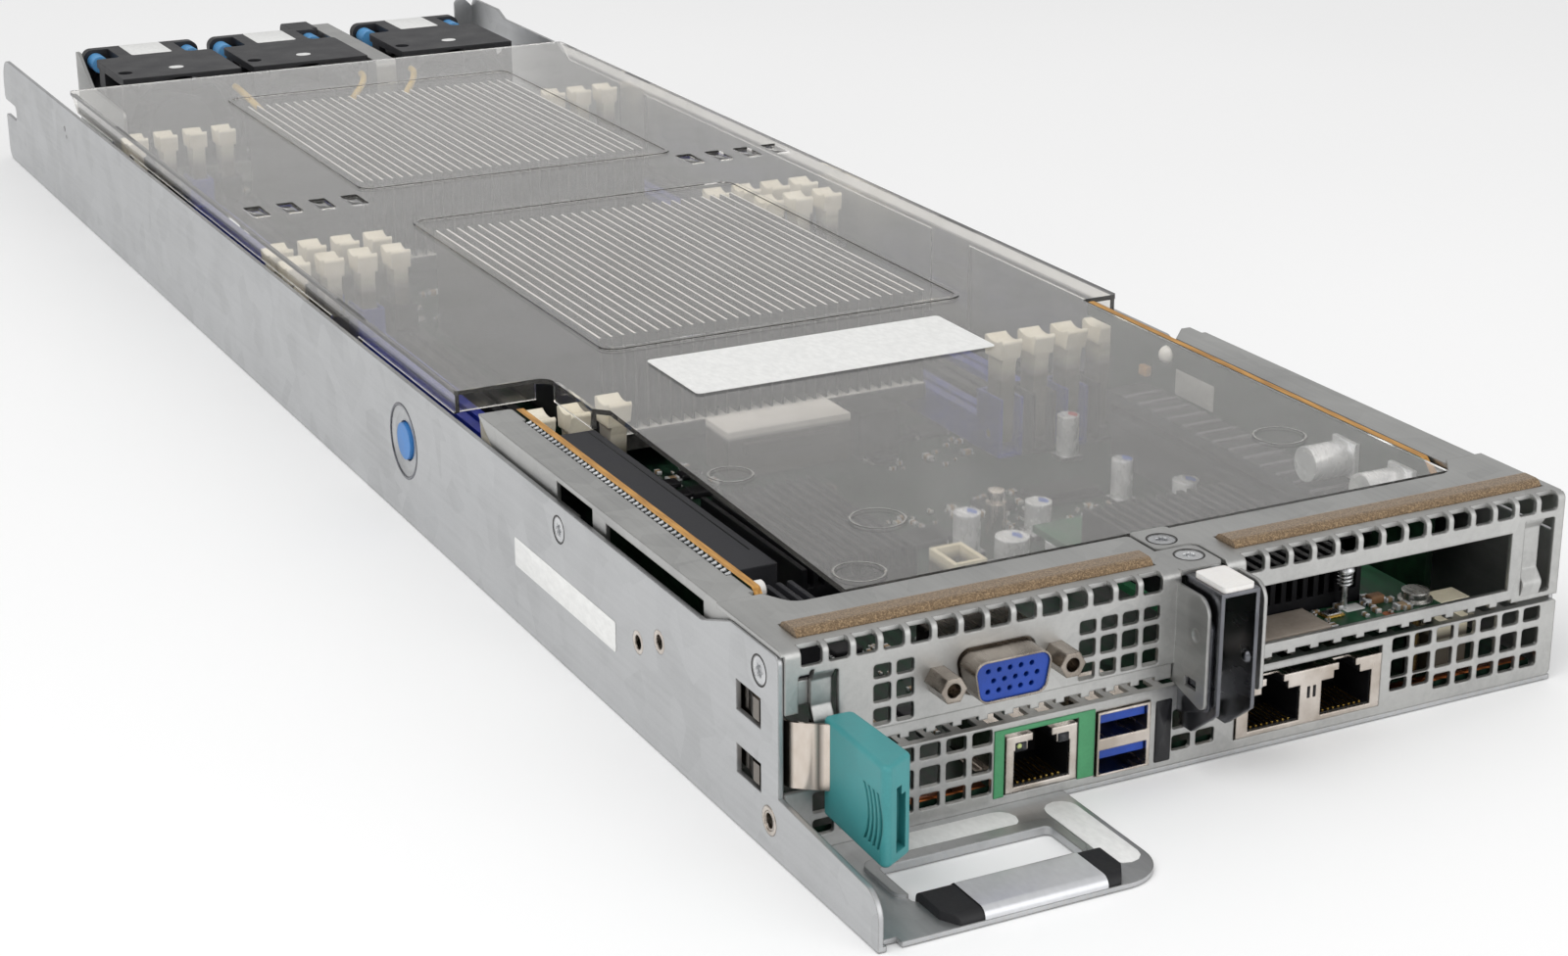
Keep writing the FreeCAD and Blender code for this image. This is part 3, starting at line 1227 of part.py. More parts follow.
VGA_REACH = -6.0
VGA_SHELL = (16.9, 8.4)
VGA_WALL = 0.4
VGA_FLANGE = (30.8, 12.4)
VGA_BODY = (19.0, 11.6, 13.0)
PIN_PITCH = 2.29
PIN_ROW_HEIGHT = 2.0
JACK_HEX = 2.7
JACK_BORE = 1.42
JACK_STUD = 1.4
JACK_FACE = -6.2


def vga_hollow(start):
    width, height = VGA_SHELL
    inner = d_outline(width - 2 * VGA_WALL, height - 2 * VGA_WALL, VGA_CENTRE, 2.0)
    return prism("y", start, SHEET, inner)


def vga_shell():
    """D-shaped metal collar on a flange behind the panel, with the connector body behind it."""
    width, height = VGA_SHELL
    x, z = VGA_CENTRE
    collar = prism("y", VGA_REACH, SHEET + 0.2, d_outline(width, height, VGA_CENTRE, 2.4))
    half_x, half_z = VGA_FLANGE[0] / 2, VGA_FLANGE[1] / 2
    flange = box(x - half_x, x + half_x, SHEET, SHEET + FOLD, z - half_z, z + half_z)
    body_x, body_z, body_rear = VGA_BODY
    body = box(x - body_x / 2, x + body_x / 2, SHEET + FOLD, body_rear, z - body_z / 2, z + body_z / 2)
    holes = [rod(JACK_STUD + 0.1, (jack_x, 0, jack_z), (0, 1, 0), 8) for jack_x, jack_z in jack_positions()]
    return cut(join([collar, flange, body]), [vga_hollow(VGA_REACH - 1)] + holes)


def vga_insert():
    """Blue contact block with three rows of five holes."""
    x, z = VGA_CENTRE
    holes = []
    for row, shift in ((1, -PIN_PITCH / 4), (0, PIN_PITCH / 4), (-1, -PIN_PITCH / 4)):
        for i in range(5):
            at = (x + PIN_PITCH * (i - 2) + shift, VGA_REACH - 1, z + PIN_ROW_HEIGHT * row)
            holes.append(rod(0.5, at, (0, 1, 0), 5))
    return cut(vga_hollow(VGA_REACH + 0.4), holes)


def vga_jack_screws():
    """Hexagonal jack screws with a threaded mouth, held through the panel and flange."""
    shapes = []
    for x, z in jack_positions():
        corners = []
        for i in range(6):
            turn = math.radians(60 * i)
            corners.append((x + JACK_HEX * math.cos(turn), z + JACK_HEX * math.sin(turn)))
        head = prism("y", JACK_FACE, 0, corners)
        stud = rod(JACK_STUD, (x, 0, z), (0, 1, 0), 4)
        bore = rod(JACK_BORE, (x, JACK_FACE - 1, z), (0, 1, 0), 6)
        shapes.append(cut(join([head, stud]), [bore]))
    return Part.makeCompound(shapes)


# Fans

FAN_BORE = 19.0
FAN_WALL = 0.9
FAN_FLANGE = 3.6
FAN_HOLE = 16.0
FAN_DECK = 2.4
FAN_NECK = 11.5
FAN_POCKET = 20.0
FAN_RECESS = (-16.6, 529.0)
FAN_RECESS_RADIUS = 2.4
FAN_HOLE_RADIUS = 1.75
FAN_MIDDLE = FAN_FRONT + FAN_LENGTH / 2
FAN_REAR = FAN_FRONT + FAN_LENGTH
HUB_RADIUS = 11.0
BLADE_TIP = 18.3
BLADE_SHEET = 1.2
BLADE_COUNT = 5
BLADE_ANGLE = 38.0
ROTOR_LENGTH = 20.0
ROTOR_GAP = 0.8
MOTOR_PLATE = 3.0
SHAFT_RADIUS = 1.5
SHAFT_PLAY = 0.05
SHAFT_REACH = 2.4


def fan_deck(x):
    """Flat top of a fan, cut back round the two grommets, with a round recess near its front left corner."""
    top = FAN_AXIS_HEIGHT + FAN_SIZE / 2
    half = FAN_SIZE / 2
    pocket = FAN_REAR - FAN_POCKET
    low = top - FAN_DECK
    plate = prism("z", low, top,
                  [(x - half, FAN_FRONT), (x + half, FAN_FRONT), (x + half, pocket, 2),
                   (x + FAN_NECK, pocket, 2), (x + FAN_NECK, FAN_REAR), (x - FAN_NECK, FAN_REAR),
                   (x - FAN_NECK, pocket, 2), (x - half, pocket, 2)])
    recess_x, recess_y = FAN_RECESS
    return cut(plate, [rod(FAN_RECESS_RADIUS, (x + recess_x, recess_y, low - 1), (0, 0, 1), FAN_DECK + 2)])


def fan_housing(x):
    """Two fan frames back to back: tubes with a flat deck, square flanges and motor plates on spokes."""
    z = FAN_AXIS_HEIGHT
    half = FAN_SIZE / 2
    solids = [rod(FAN_BORE + FAN_WALL, (x, FAN_FRONT, z), (0, 1, 0), FAN_LENGTH), fan_deck(x)]
    for y in (FAN_FRONT, FAN_MIDDLE - FAN_FLANGE, FAN_MIDDLE, FAN_REAR - FAN_FLANGE):
        solids.append(prism("y", y, y + FAN_FLANGE, rounded(x - half, x + half, z - half, z + half, 3)))
    tools = [rod(FAN_BORE, (x, FAN_FRONT - 1, z), (0, 1, 0), FAN_LENGTH + 2)]
    for across in (-FAN_HOLE, FAN_HOLE):
        for up in (-FAN_HOLE, FAN_HOLE):
            at = (x + across, FAN_FRONT - 1, z + up)
            tools.append(rod(FAN_HOLE_RADIUS, at, (0, 1, 0), FAN_LENGTH + 2))
    reach = FAN_BORE + FAN_WALL / 2
    plate = rod(HUB_RADIUS, (x, FAN_MIDDLE - MOTOR_PLATE, z), (0, 1, 0), 2 * MOTOR_PLATE)
    across = box(x - reach, x + reach, FAN_MIDDLE - 1.5, FAN_MIDDLE + 1.5, z - 1, z + 1)
    upright = box(x - 1, x + 1, FAN_MIDDLE - 1.5, FAN_MIDDLE + 1.5, z - reach, z + reach)
    bores = []
    for hand in (-1, 1):
        mouth = (x, FAN_MIDDLE + hand * (MOTOR_PLATE + 1), z)
        bores.append(rod(SHAFT_RADIUS + SHAFT_PLAY, mouth, (0, -hand, 0), SHAFT_REACH + 1.2))
    return cut(join([cut(join(solids), tools), plate, across, upright]), bores)


def fan_rotor(x, hand):
    """Hub with pitched blades and a shaft; hand -1 is the front rotor and +1 the rear one."""
    z = FAN_AXIS_HEIGHT
    inner = FAN_MIDDLE + hand * (MOTOR_PLATE + ROTOR_GAP)
    middle = FreeCAD.Vector(x, inner + hand * ROTOR_LENGTH / 2, z)
    along = FreeCAD.Vector(0, 1, 0)
    upward = FreeCAD.Vector(0, 0, 1)
    half = ROTOR_LENGTH / 2
    pieces = [rod(HUB_RADIUS, (x, inner, z), (0, hand, 0), ROTOR_LENGTH)]
    for i in range(BLADE_COUNT):
        blade = box(x - BLADE_SHEET / 2, x + BLADE_SHEET / 2, middle.y - half + 2, middle.y + half - 2,
                    z + HUB_RADIUS - 2, z + BLADE_TIP + 1)
        blade.rotate(middle, upward, -hand * BLADE_ANGLE)
        blade.rotate(middle, along, 360 / BLADE_COUNT * i)
        pieces.append(blade)
    sweep = rod(BLADE_TIP, (x, inner, z), (0, hand, 0), ROTOR_LENGTH)
    shaft = rod(SHAFT_RADIUS, (x, inner, z), (0, -hand, 0), ROTOR_GAP + SHAFT_REACH)
    return join([join(pieces).common(sweep), shaft])


def fan_grommets():
    """Soft blue pins through the upper rear corner holes."""
    pins = []
    z = FAN_AXIS_HEIGHT + FAN_HOLE
    flange = FAN_REAR - FAN_FLANGE
    for x in FAN_CENTRES:
        barrel = rod(FAN_BORE + FAN_WALL, (x, FAN_FRONT, FAN_AXIS_HEIGHT), (0, 1, 0), FAN_LENGTH)
        for side in (-FAN_HOLE, FAN_HOLE):
            head = rod(2.9, (x + side, flange - 7, z), (0, 1, 0), 7)
            shank = rod(FAN_HOLE_RADIUS, (x + side, flange, z), (0, 1, 0), FAN_FLANGE + 1)
            tail = rod(2.6, (x + side, FAN_REAR, z), (0, 1, 0), 2)
            pins.append(join([head, shank, tail]).cut(barrel))
    return Part.makeCompound(pins)


DIVIDER_X = 107.5
DIVIDER_WIDTH = 7.0
DIVIDER_TOP = 39.4
SILL = (10.0, 160.0, 515.0, 9.0)
CHEEK_X = 19.8
CHEEK_TOP = 40.4
REAR_PLUG_Y = (578.0, 594.0)
REAR_PLUG_Z = (20.0, 40.0)


def fan_bracket():
    """Bent sheet that locates the fans: sill, left cheek and an inverted channel before the third fan."""
    x0, x1, front, height = SILL
    sill = box(x0, x1, front, front + SHEET, SHEET, height)
    cheek = prism("x", CHEEK_X, CHEEK_X + SHEET,
                  [(front, SHEET), (575, SHEET), (575, CHEEK_TOP, 1), (571, CHEEK_TOP, 1), (553, 30),
                   (front, 30, 2)])
    side = [(front, SHEET), (592, SHEET), (592, DIVIDER_TOP, 5), (front, DIVIDER_TOP, 3)]
    right = DIVIDER_X + DIVIDER_WIDTH
    divider = prism("x", DIVIDER_X, right, side)
    hollow = box(DIVIDER_X + SHEET, right - SHEET, front + SHEET, REAR_END, 0, DIVIDER_TOP - SHEET)
    return join([sill, cheek, divider.cut(hollow)])


def rear_connector():
    """Black connector housing at the rear of the divider, with an open mouth."""
    y0, y1 = REAR_PLUG_Y
    z0, z1 = REAR_PLUG_Z
    body = prism("x", DIVIDER_X - 9, DIVIDER_X, [(y0, z0), (y1, z0), (y1, z1, 3), (y0, z1, 1)])
    return cut(body, [box(DIVIDER_X - 7.4, DIVIDER_X - 1.6, y0 + 8, y1 + 1, z0 + 4, z1 - 4)])


LEAD_RADIUS = 1.1
LEAD_BEND = 3.0
LEAD_RISE = 24.0
LEAD_TURN = 511.0
LEAD_HEIGHT = FAN_AXIS_HEIGHT + 13.0
LEAD_OFFSET = 17.4


def fan_leads():
    """Wire bundle of each fan, from its plug on the board up to the fan's front frame."""
    leads = []
    for (x, y), fan, side in zip(FAN_PLUGS, FAN_CENTRES, (1, 1, -1)):
        end = fan + side * LEAD_OFFSET
        route = [(x, y, FAN_PLUG_TOP), (x, y, LEAD_RISE), (end, LEAD_TURN, LEAD_HEIGHT),
                 (end, FAN_FRONT, LEAD_HEIGHT)]
        leads.append(tube(route, LEAD_BEND, LEAD_RADIUS))
    return Part.makeCompound(leads)


# Exports

os.makedirs("parts", exist_ok=True)

export("tray", tray())
export("handle_grip", handle_grip())
export("bare_labels", bare_labels())
export("io_panel", io_panel())
export("centre_guide", centre_guide())
export("guide_pad", guide_pad())
export("riser_bracket_left", riser_bracket_left())
export("riser_bracket_right", riser_bracket_right())
export("top_gaskets", Part.makeCompound(top_gaskets()))
export("flat_head_screws", Part.makeCompound(flat_head_screws()))
export("tubular_rivets", Part.makeCompound(tubular_rivets()))
export("spring_anchor", spring_anchor())
export("release_spring", release_spring())
export("release_grip", release_grip())
export("duct_button", duct_button())
export("air_duct", air_duct())
export("duct_label", duct_label())

export("main_board", main_board())
export("pan_head_screws", Part.makeCompound(pan_head_screws()))
export("cpu_sockets", cpu_sockets())
export("heat_sink_front", heat_sink(SINK_FRONTS[0]))
export("heat_sink_rear", heat_sink(SINK_FRONTS[1]))
export("dimm_sockets_blue", dimm_sockets(0))
export("dimm_sockets_black", dimm_sockets(1))
for bank, front in zip(("front", "rear"), BANK_FRONTS):
    export("latches_" + bank + "_bank_front", latch_row(front, -1))
    export("latches_" + bank + "_bank_rear", latch_row(front + LATCH_SPAN, 1))
export("power_connector", power_connector())
export("board_capacitors", board_capacitors())
export("board_chips", board_chips())
export("board_connectors", board_connectors())

export("riser_card_left", riser_card_left())
export("riser_card_right", riser_card_right())
export("riser_slots", riser_slots())
export("riser_board_connectors", riser_board_connectors())
export("card_guide", card_guide())
export("mezzanine_card", mezzanine_card())
export("mezzanine_pad", mezzanine_pad())
export("black_heat_sinks", black_heat_sinks())

export("lan_shell", lan_housing(LAN_SPAN, LAN_MIDDLES))
export("twin_lan_shell", lan_housing(TWIN_SPAN, TWIN_MIDDLES))
export("lan_cores", lan_cores())
export("port_surround", port_surround())
export("usb_shell", usb_shell())
export("usb_core", usb_core())
export("vga_shell", vga_shell())
export("vga_insert", vga_insert())
export("vga_jack_screws", vga_jack_screws())

export("fan_housings", Part.makeCompound([fan_housing(x) for x in FAN_CENTRES]))
for number, x in enumerate(FAN_CENTRES, start=1):
    for end, hand in (("front", -1), ("rear", 1)):
        export("fan_%d_%s_rotor" % (number, end), fan_rotor(x, hand))
export("fan_grommets", fan_grommets())
export("fan_bracket", fan_bracket())
export("rear_connector", rear_connector())
export("fan_leads", fan_leads())
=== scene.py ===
import bmesh
import bpy
import numpy as np
from mathutils import Matrix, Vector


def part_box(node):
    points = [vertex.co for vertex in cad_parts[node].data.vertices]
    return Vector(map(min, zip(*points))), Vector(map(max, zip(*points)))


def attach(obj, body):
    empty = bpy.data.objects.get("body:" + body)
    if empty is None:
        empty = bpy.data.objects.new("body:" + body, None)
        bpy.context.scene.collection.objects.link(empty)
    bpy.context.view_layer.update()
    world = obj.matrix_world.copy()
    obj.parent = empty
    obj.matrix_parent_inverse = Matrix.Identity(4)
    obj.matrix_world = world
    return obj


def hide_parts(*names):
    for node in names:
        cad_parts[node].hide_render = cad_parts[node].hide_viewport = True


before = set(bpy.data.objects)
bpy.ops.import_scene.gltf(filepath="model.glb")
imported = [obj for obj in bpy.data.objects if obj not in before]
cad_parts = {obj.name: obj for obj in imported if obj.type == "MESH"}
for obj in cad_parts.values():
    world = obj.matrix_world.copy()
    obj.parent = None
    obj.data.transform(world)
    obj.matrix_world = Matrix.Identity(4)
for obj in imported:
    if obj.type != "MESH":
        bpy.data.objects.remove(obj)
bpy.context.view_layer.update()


# Tray: floor, side walls and pull handle of the node, cut and bent from one millimetre of
# zinc-coated sheet. The zinc shows a faint spangle, rolling streaks and darker rubbed edges.

SHEET_TONES = ("b0b1b2", "c1c2c3", "cccdce")
SHEET_GLOSS = (0.36, 0.55)
RUBBED_EDGE = "6a6660"
EDGE_RADIUS = 0.0005


def colour(digits):
    """Six hex digits as the linear red, green, blue and alpha that nodes take."""
    level = np.array([int(digits[i:i + 2], 16) for i in (0, 2, 4)]) / 255
    linear = np.where(level <= 0.04045, level / 12.92, ((level + 0.055) / 1.055) ** 2.4)
    return (*linear.tolist(), 1.0)


def add_node(tree, kind, settings=None, **sockets):
    """Adds a shader node; a socket is given a plain value or another node's output."""
    made = tree.nodes.new("ShaderNode" + kind)
    for name, value in (settings or {}).items():
        setattr(made, name, value)
    for name, value in sockets.items():
        socket = made.inputs[name.replace("_", " ")]
        if isinstance(value, bpy.types.NodeSocket):
            tree.links.new(value, socket)
        else:
            socket.default_value = value
    return made


def start_finish(name, **plain):
    """New material: node tree, shader with plain values on its own sockets, Object coordinates."""
    material = bpy.data.materials.new(name)
    material.use_nodes = True
    tree = material.node_tree
    shader = tree.nodes["Principled BSDF"]
    for socket, value in plain.items():
        shader.inputs[socket.replace("_", " ")].default_value = value
    return tree, shader, add_node(tree, "TexCoord").outputs["Object"]


def noise(tree, where, scale, detail=4.0, stretch=(1, 1, 1)):
    """Cloudy value from 0 to 1; stretch above 1 squeezes it along that axis."""
    spot = add_node(tree, "Mapping", Vector=where, Scale=stretch).outputs["Vector"]
    return add_node(tree, "TexNoise", Vector=spot, Scale=scale, Detail=detail).outputs["Fac"]


def ramp(tree, factor, *stops):
    """Colours or greys blended over a factor; each stop is a position and hex digits or a number."""
    made = add_node(tree, "ValToRGB", Fac=factor)
    band = made.color_ramp
    while len(band.elements) < len(stops):
        band.elements.new(1.0)
    for element, (position, value) in zip(band.elements, stops):
        element.position = position
        element.color = colour(value) if isinstance(value, str) else (value, value, value, 1.0)
    return made.outputs["Color"]


def math_node(tree, operation, *values):
    """Result of one operation on values; each is a number or another node's output."""
    made = add_node(tree, "Math", {"operation": operation})
    for socket, value in zip(made.inputs, values):
        if isinstance(value, bpy.types.NodeSocket):
            tree.links.new(value, socket)
        else:
            socket.default_value = value
    return made.outputs["Value"]


def soft_edges(tree, radius):
    """Normal rolled over the sharp edges, and how far it leans off the flat face there, 0 to 1."""
    rolled = add_node(tree, "Bevel", {"samples": 4}, Radius=radius).outputs["Normal"]
    flat = add_node(tree, "NewGeometry").outputs["Normal"]
    along = add_node(tree, "VectorMath", {"operation": "DOT_PRODUCT"})
    tree.links.new(rolled, along.inputs[0])
    tree.links.new(flat, along.inputs[1])
    return rolled, math_node(tree, "SUBTRACT", 1.0, along.outputs["Value"])


def set_relief(tree, shader, height, distance, normal=None):
    """Fine relief of a given depth in metres on the shader's normal."""
    bump = add_node(tree, "Bump", Height=height, Distance=distance, Strength=1.0)
    if normal is not None:
        tree.links.new(normal, bump.inputs["Normal"])
    tree.links.new(bump.outputs["Normal"], shader.inputs["Normal"])


def blend_colours(tree, factor, first, second):
    """First colour at factor 0, second at 1; each is hex digits or another node's output."""
    made = add_node(tree, "MixRGB", Fac=factor)
    for socket, value in ((made.inputs["Color1"], first), (made.inputs["Color2"], second)):
        if isinstance(value, str):
            socket.default_value = colour(value)
        else:
            tree.links.new(value, socket)
    return made.outputs["Color"]


def zinc_sheet(name, tones):
    """Zinc-coated sheet: spangle cells and long streaks in the tone, fine grain in gloss and relief."""
    dark, middle, light = tones
    tree, shader, where = start_finish(name, Metallic=1.0)
    cells = add_node(tree, "TexVoronoi", Vector=where, Scale=130.0).outputs["Color"]
    clouds = noise(tree, where, 45.0, 6.0)
    streaks = noise(tree, where, 900.0, 3.0, (1, 0.03, 1))
    grain = noise(tree, where, 2600.0, 2.0)
    tone = math_node(tree, "MULTIPLY_ADD", cells, 0.16, math_node(tree, "MULTIPLY", clouds, 0.55))
    tone = math_node(tree, "ADD", tone, math_node(tree, "MULTIPLY", streaks, 0.22))
    rolled, lean = soft_edges(tree, EDGE_RADIUS)
    zinc = ramp(tree, tone, (0.25, dark), (0.46, middle), (0.7, light))
    worn = math_node(tree, "MULTIPLY", lean, noise(tree, where, 260.0, 3.0))
    rubbed = ramp(tree, worn, (0.02, 0.0), (0.2, 0.65))
    tree.links.new(blend_colours(tree, rubbed, zinc, RUBBED_EDGE), shader.inputs["Base Color"])
    rough = math_node(tree, "ADD", math_node(tree, "MULTIPLY", clouds, 0.6),
                      math_node(tree, "MULTIPLY", grain, 0.4))
    gloss = ramp(tree, rough, (0.3, SHEET_GLOSS[0]), (0.7, SHEET_GLOSS[1]))
    tree.links.new(gloss, shader.inputs["Roughness"])
    set_relief(tree, shader, grain, 0.00002, rolled)


def dress(finish, *nodes):
    """Gives CAD nodes a finish."""
    for name in nodes:
        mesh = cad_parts[name].data
        mesh.materials.clear()
        mesh.materials.append(bpy.data.materials[finish])


zinc_sheet("zinc_tray", SHEET_TONES)
dress("zinc_tray", "tray")


# Port panel: lower half of the face, perforated zinc sheet folded in at the floor, with a bare
# black strip of film stuck beside the stacked ports.

PANEL_TONES = ("a6a6a5", "bbbbb9", "c9c9c7")
STRIP = ((79.7, -0.12, 2.2), (83.3, -0.01, 15.0))
LEFT_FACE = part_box("tray")[0].x
PANEL_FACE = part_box("io_panel")[0].y
MM = 0.001
SHARP_ANGLE = 0.6
AXES = {"x": (1, 2, 0), "y": (0, 2, 1), "z": (0, 1, 2)}


def slab(low, high, corner, edge, facing="z", turns=4, rolls=3):
    """Rounded slab: a rectangle with round corners carried up a profile whose rims are quarter circles.
    Columns go round the outline; rows go from the middle of one face over the rims to the other.
    low and high are opposite corners in millimetres, of one slab or of many."""
    order = list(AXES[facing])
    low = np.asarray(low, float)[..., order][..., None, None, :]
    high = np.asarray(high, float)[..., order][..., None, None, :]
    centre = (low + high) / 2
    half = (high - low) / 2
    share = np.linspace(0, 1, turns) if turns > 1 else np.array([0.5])
    angle = (np.arange(4)[:, None] + share).ravel() * np.pi / 2
    side_u = np.repeat((1, -1, -1, 1), turns)
    side_v = np.repeat((1, 1, -1, -1), turns)
    roll = np.linspace(0, np.pi / 2, rolls)
    rise = np.concatenate((-roll[::-1], roll))[:, None]
    level = np.repeat((-1, 1), rolls)[:, None]
    reach = corner - edge + edge * np.cos(rise)
    u = centre[..., 0] + side_u * (half[..., 0] - corner) + reach * np.cos(angle)
    v = centre[..., 1] + side_v * (half[..., 1] - corner) + reach * np.sin(angle)
    w = centre[..., 2] + level * (half[..., 2] - edge) + edge * np.sin(rise)
    rim = np.stack(np.broadcast_arrays(u, v, w), axis=-1)
    poles = np.broadcast_to(centre, rim[..., :1, :, :].shape).copy()
    first = poles.copy()
    first[..., 2] = low[..., 2]
    last = poles.copy()
    last[..., 2] = high[..., 2]
    points = np.concatenate((first, rim, last), axis=-3)
    return points[..., np.argsort(order)]


def make_piece(name, grids, finish, body="chassis"):
    """One mesh from point grids in millimetres whose columns close round; doubles merged, faces outward.
    A grid may hold many shapes at once: its last three axes are rows, columns and coordinates."""
    points = []
    faces = []
    count = 0
    for grid in grids:
        rows, columns = grid.shape[-3:-1]
        ring = np.arange(rows * columns).reshape(rows, columns)
        ring = np.hstack((ring, ring[:, :1]))
        quads = np.stack((ring[:-1, :-1], ring[:-1, 1:], ring[1:, 1:], ring[1:, :-1]), -1).reshape(-1, 4)
        flat = grid.reshape(-1, rows * columns, 3)
        shift = count + rows * columns * np.arange(len(flat))
        faces.append((quads + shift[:, None, None]).reshape(-1, 4))
        points.append(flat.reshape(-1, 3))
        count += len(points[-1])
    placed = np.concatenate(points) * MM + (LEFT_FACE, PANEL_FACE, 0)
    mesh = bpy.data.meshes.new(name)
    mesh.from_pydata(placed.tolist(), [], np.concatenate(faces).tolist())
    shape = bmesh.new()
    shape.from_mesh(mesh)
    bmesh.ops.remove_doubles(shape, verts=shape.verts, dist=1e-7)
    bmesh.ops.recalc_face_normals(shape, faces=shape.faces)
    shape.to_mesh(mesh)
    shape.free()
    mesh.polygons.foreach_set("use_smooth", np.ones(len(mesh.polygons), bool))
    mesh.set_sharp_from_angle(angle=SHARP_ANGLE)
    mesh.materials.append(bpy.data.materials[finish])
    piece = bpy.data.objects.new(name, mesh)
    bpy.context.scene.collection.objects.link(piece)
    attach(piece, body)
    return piece


def along_axis(tree, where, low, high, axis="Z"):
    """Goes from 0 to 1 between two places on an axis of the shared frame, in metres."""
    place = add_node(tree, "SeparateXYZ", Vector=where).outputs[axis]
    return add_node(tree, "MapRange", Value=place, From_Min=low, From_Max=high).outputs["Result"]


def with_lower_tone(tree, where, tone, foot):
    """Tone of a piece whose lower part has another colour: a real foot, or painted shade.
    foot is two heights in millimetres, between which the colour changes, and hex digits."""
    low, high, shade = foot
    return blend_colours(tree, along_axis(tree, where, low * MM, high * MM), shade, tone)


def moulded(name, shade, gloss, grain=0.00001, scale=1800.0, foot=None, **plain):
    """Moulded plastic or rubber: slight cloud in the colour, spark-eroded grain in gloss and relief."""
    tree, shader, where = start_finish(name, **plain)
    dark, light = shade
    fine = noise(tree, where, scale, 3.0)
    cloud = math_node(tree, "ADD", math_node(tree, "MULTIPLY", noise(tree, where, 120.0), 0.7),
                      math_node(tree, "MULTIPLY", fine, 0.3))
    rolled, lean = soft_edges(tree, EDGE_RADIUS)
    body_tone = ramp(tree, cloud, (0.35, dark), (0.65, light))
    rim = ramp(tree, lean, (0.05, 0.0), (0.5, 0.25))
    body_tone = blend_colours(tree, rim, body_tone, light)
    if foot is not None:
        body_tone = with_lower_tone(tree, where, body_tone, foot)
    tree.links.new(body_tone, shader.inputs["Base Color"])
    tree.links.new(ramp(tree, cloud, (0.3, gloss[0]), (0.7, gloss[1])), shader.inputs["Roughness"])
    set_relief(tree, shader, fine, grain, rolled)


zinc_sheet("zinc_panel", PANEL_TONES)
dress("zinc_panel", "io_panel")
moulded("black_film", ("17171a", "202024"), (0.3, 0.42))
make_piece("port_strip", [slab(*STRIP, corner=0.3, edge=0.03, facing="y")], "black_film")


# Riser brackets: two upper panel halves in the same sheet, with flanges over the top, pans for
# the gaskets, notches over the bend and rails that carry the riser cards.

dress("zinc_panel", "riser_bracket_left", "riser_bracket_right")


# Top gaskets: half-round foam strips wrapped in conductive cloth of bronze-coloured thread,
# glued into the pans of the brackets.

tree, shader, where = start_finish("bronze_cloth", Metallic=0.45, Sheen_Weight=0.3)
weave = add_node(tree, "TexVoronoi", Vector=where, Scale=4200.0).outputs["Distance"]
cloth = math_node(tree, "ADD", math_node(tree, "MULTIPLY", noise(tree, where, 2400.0, 3.0), 0.75),
                  math_node(tree, "MULTIPLY", weave, 0.4))
thread = ramp(tree, cloth, (0.3, "58462f"), (0.55, "7c664c"), (0.8, "a58c6a"))
tree.links.new(thread, shader.inputs["Base Color"])
tree.links.new(ramp(tree, cloth, (0.3, 0.75), (0.8, 0.5)), shader.inputs["Roughness"])
set_relief(tree, shader, weave, 0.00004)
dress("bronze_cloth", "top_gaskets")


# Flat-head screws: zinc-plated, with a six-lobed recess; two hold the flanges together and two
# go through the left wall into the brackets. A thin dark ring round each in its countersink is
# painted shade of the gap.

HEAD_RADIUS = 2.8
HEAD_DEPTH = 1.4
SHANK_RADIUS = 1.4
SHANK_LENGTH = 3.6
LOBE_RADIUS = 1.25
LOBE_DEPTH = 0.13
RECESS_DEPTH = 0.9
RECESS_TAPER = 0.85
RIM_WIDTH = 0.2
RIM_DROP = 0.1
LAND_DROP = 0.02
SCREW_COLUMNS = 36
FLANGE_TOP = 40.8
TOP_SCREWS = ((90.0, 6.2, FLANGE_TOP), (90.0, 15.4, FLANGE_TOP))
WALL_SCREWS = ((0.0, 99.8, 29.8), (0.0, 8.0, 34.5))


def turned(centres, facing, radii, rises, columns=SCREW_COLUMNS):
    """Turned shape: each row is a ring of a given radius at a given rise along the facing axis.
    Radii may change round the ring; centres may hold many places at once."""
    order = list(AXES[facing])
    centres = np.asarray(centres, float)[..., order][..., None, None, :]
    angle = np.arange(columns) * 2 * np.pi / columns
    radii = np.asarray(radii, float)
    radii = radii[:, None] if radii.ndim == 1 else radii
    rises = np.asarray(rises, float)[:, None]
    u = centres[..., 0] + radii * np.cos(angle)
    v = centres[..., 1] + radii * np.sin(angle)
    w = centres[..., 2] + rises + 0 * angle
    return np.stack(np.broadcast_arrays(u, v, w), axis=-1)[..., np.argsort(order)]


def screw_rings(inward):
    """Rows of a screw from shank end over the countersunk head into the lobed recess."""
    angle = np.arange(SCREW_COLUMNS) * 2 * np.pi / SCREW_COLUMNS
    lobes = LOBE_RADIUS * (1 + LOBE_DEPTH * np.cos(6 * angle))
    even = np.ones(SCREW_COLUMNS)
    radii = np.stack((0 * even, SHANK_RADIUS * even, SHANK_RADIUS * even, HEAD_RADIUS * even,
                      (HEAD_RADIUS - RIM_WIDTH) * even, lobes, RECESS_TAPER * lobes, 0 * even))
    depth = np.array((SHANK_LENGTH, SHANK_LENGTH, HEAD_DEPTH, RIM_DROP, LAND_DROP, 0.0,
                      RECESS_DEPTH, RECESS_DEPTH))
    return radii, inward * depth


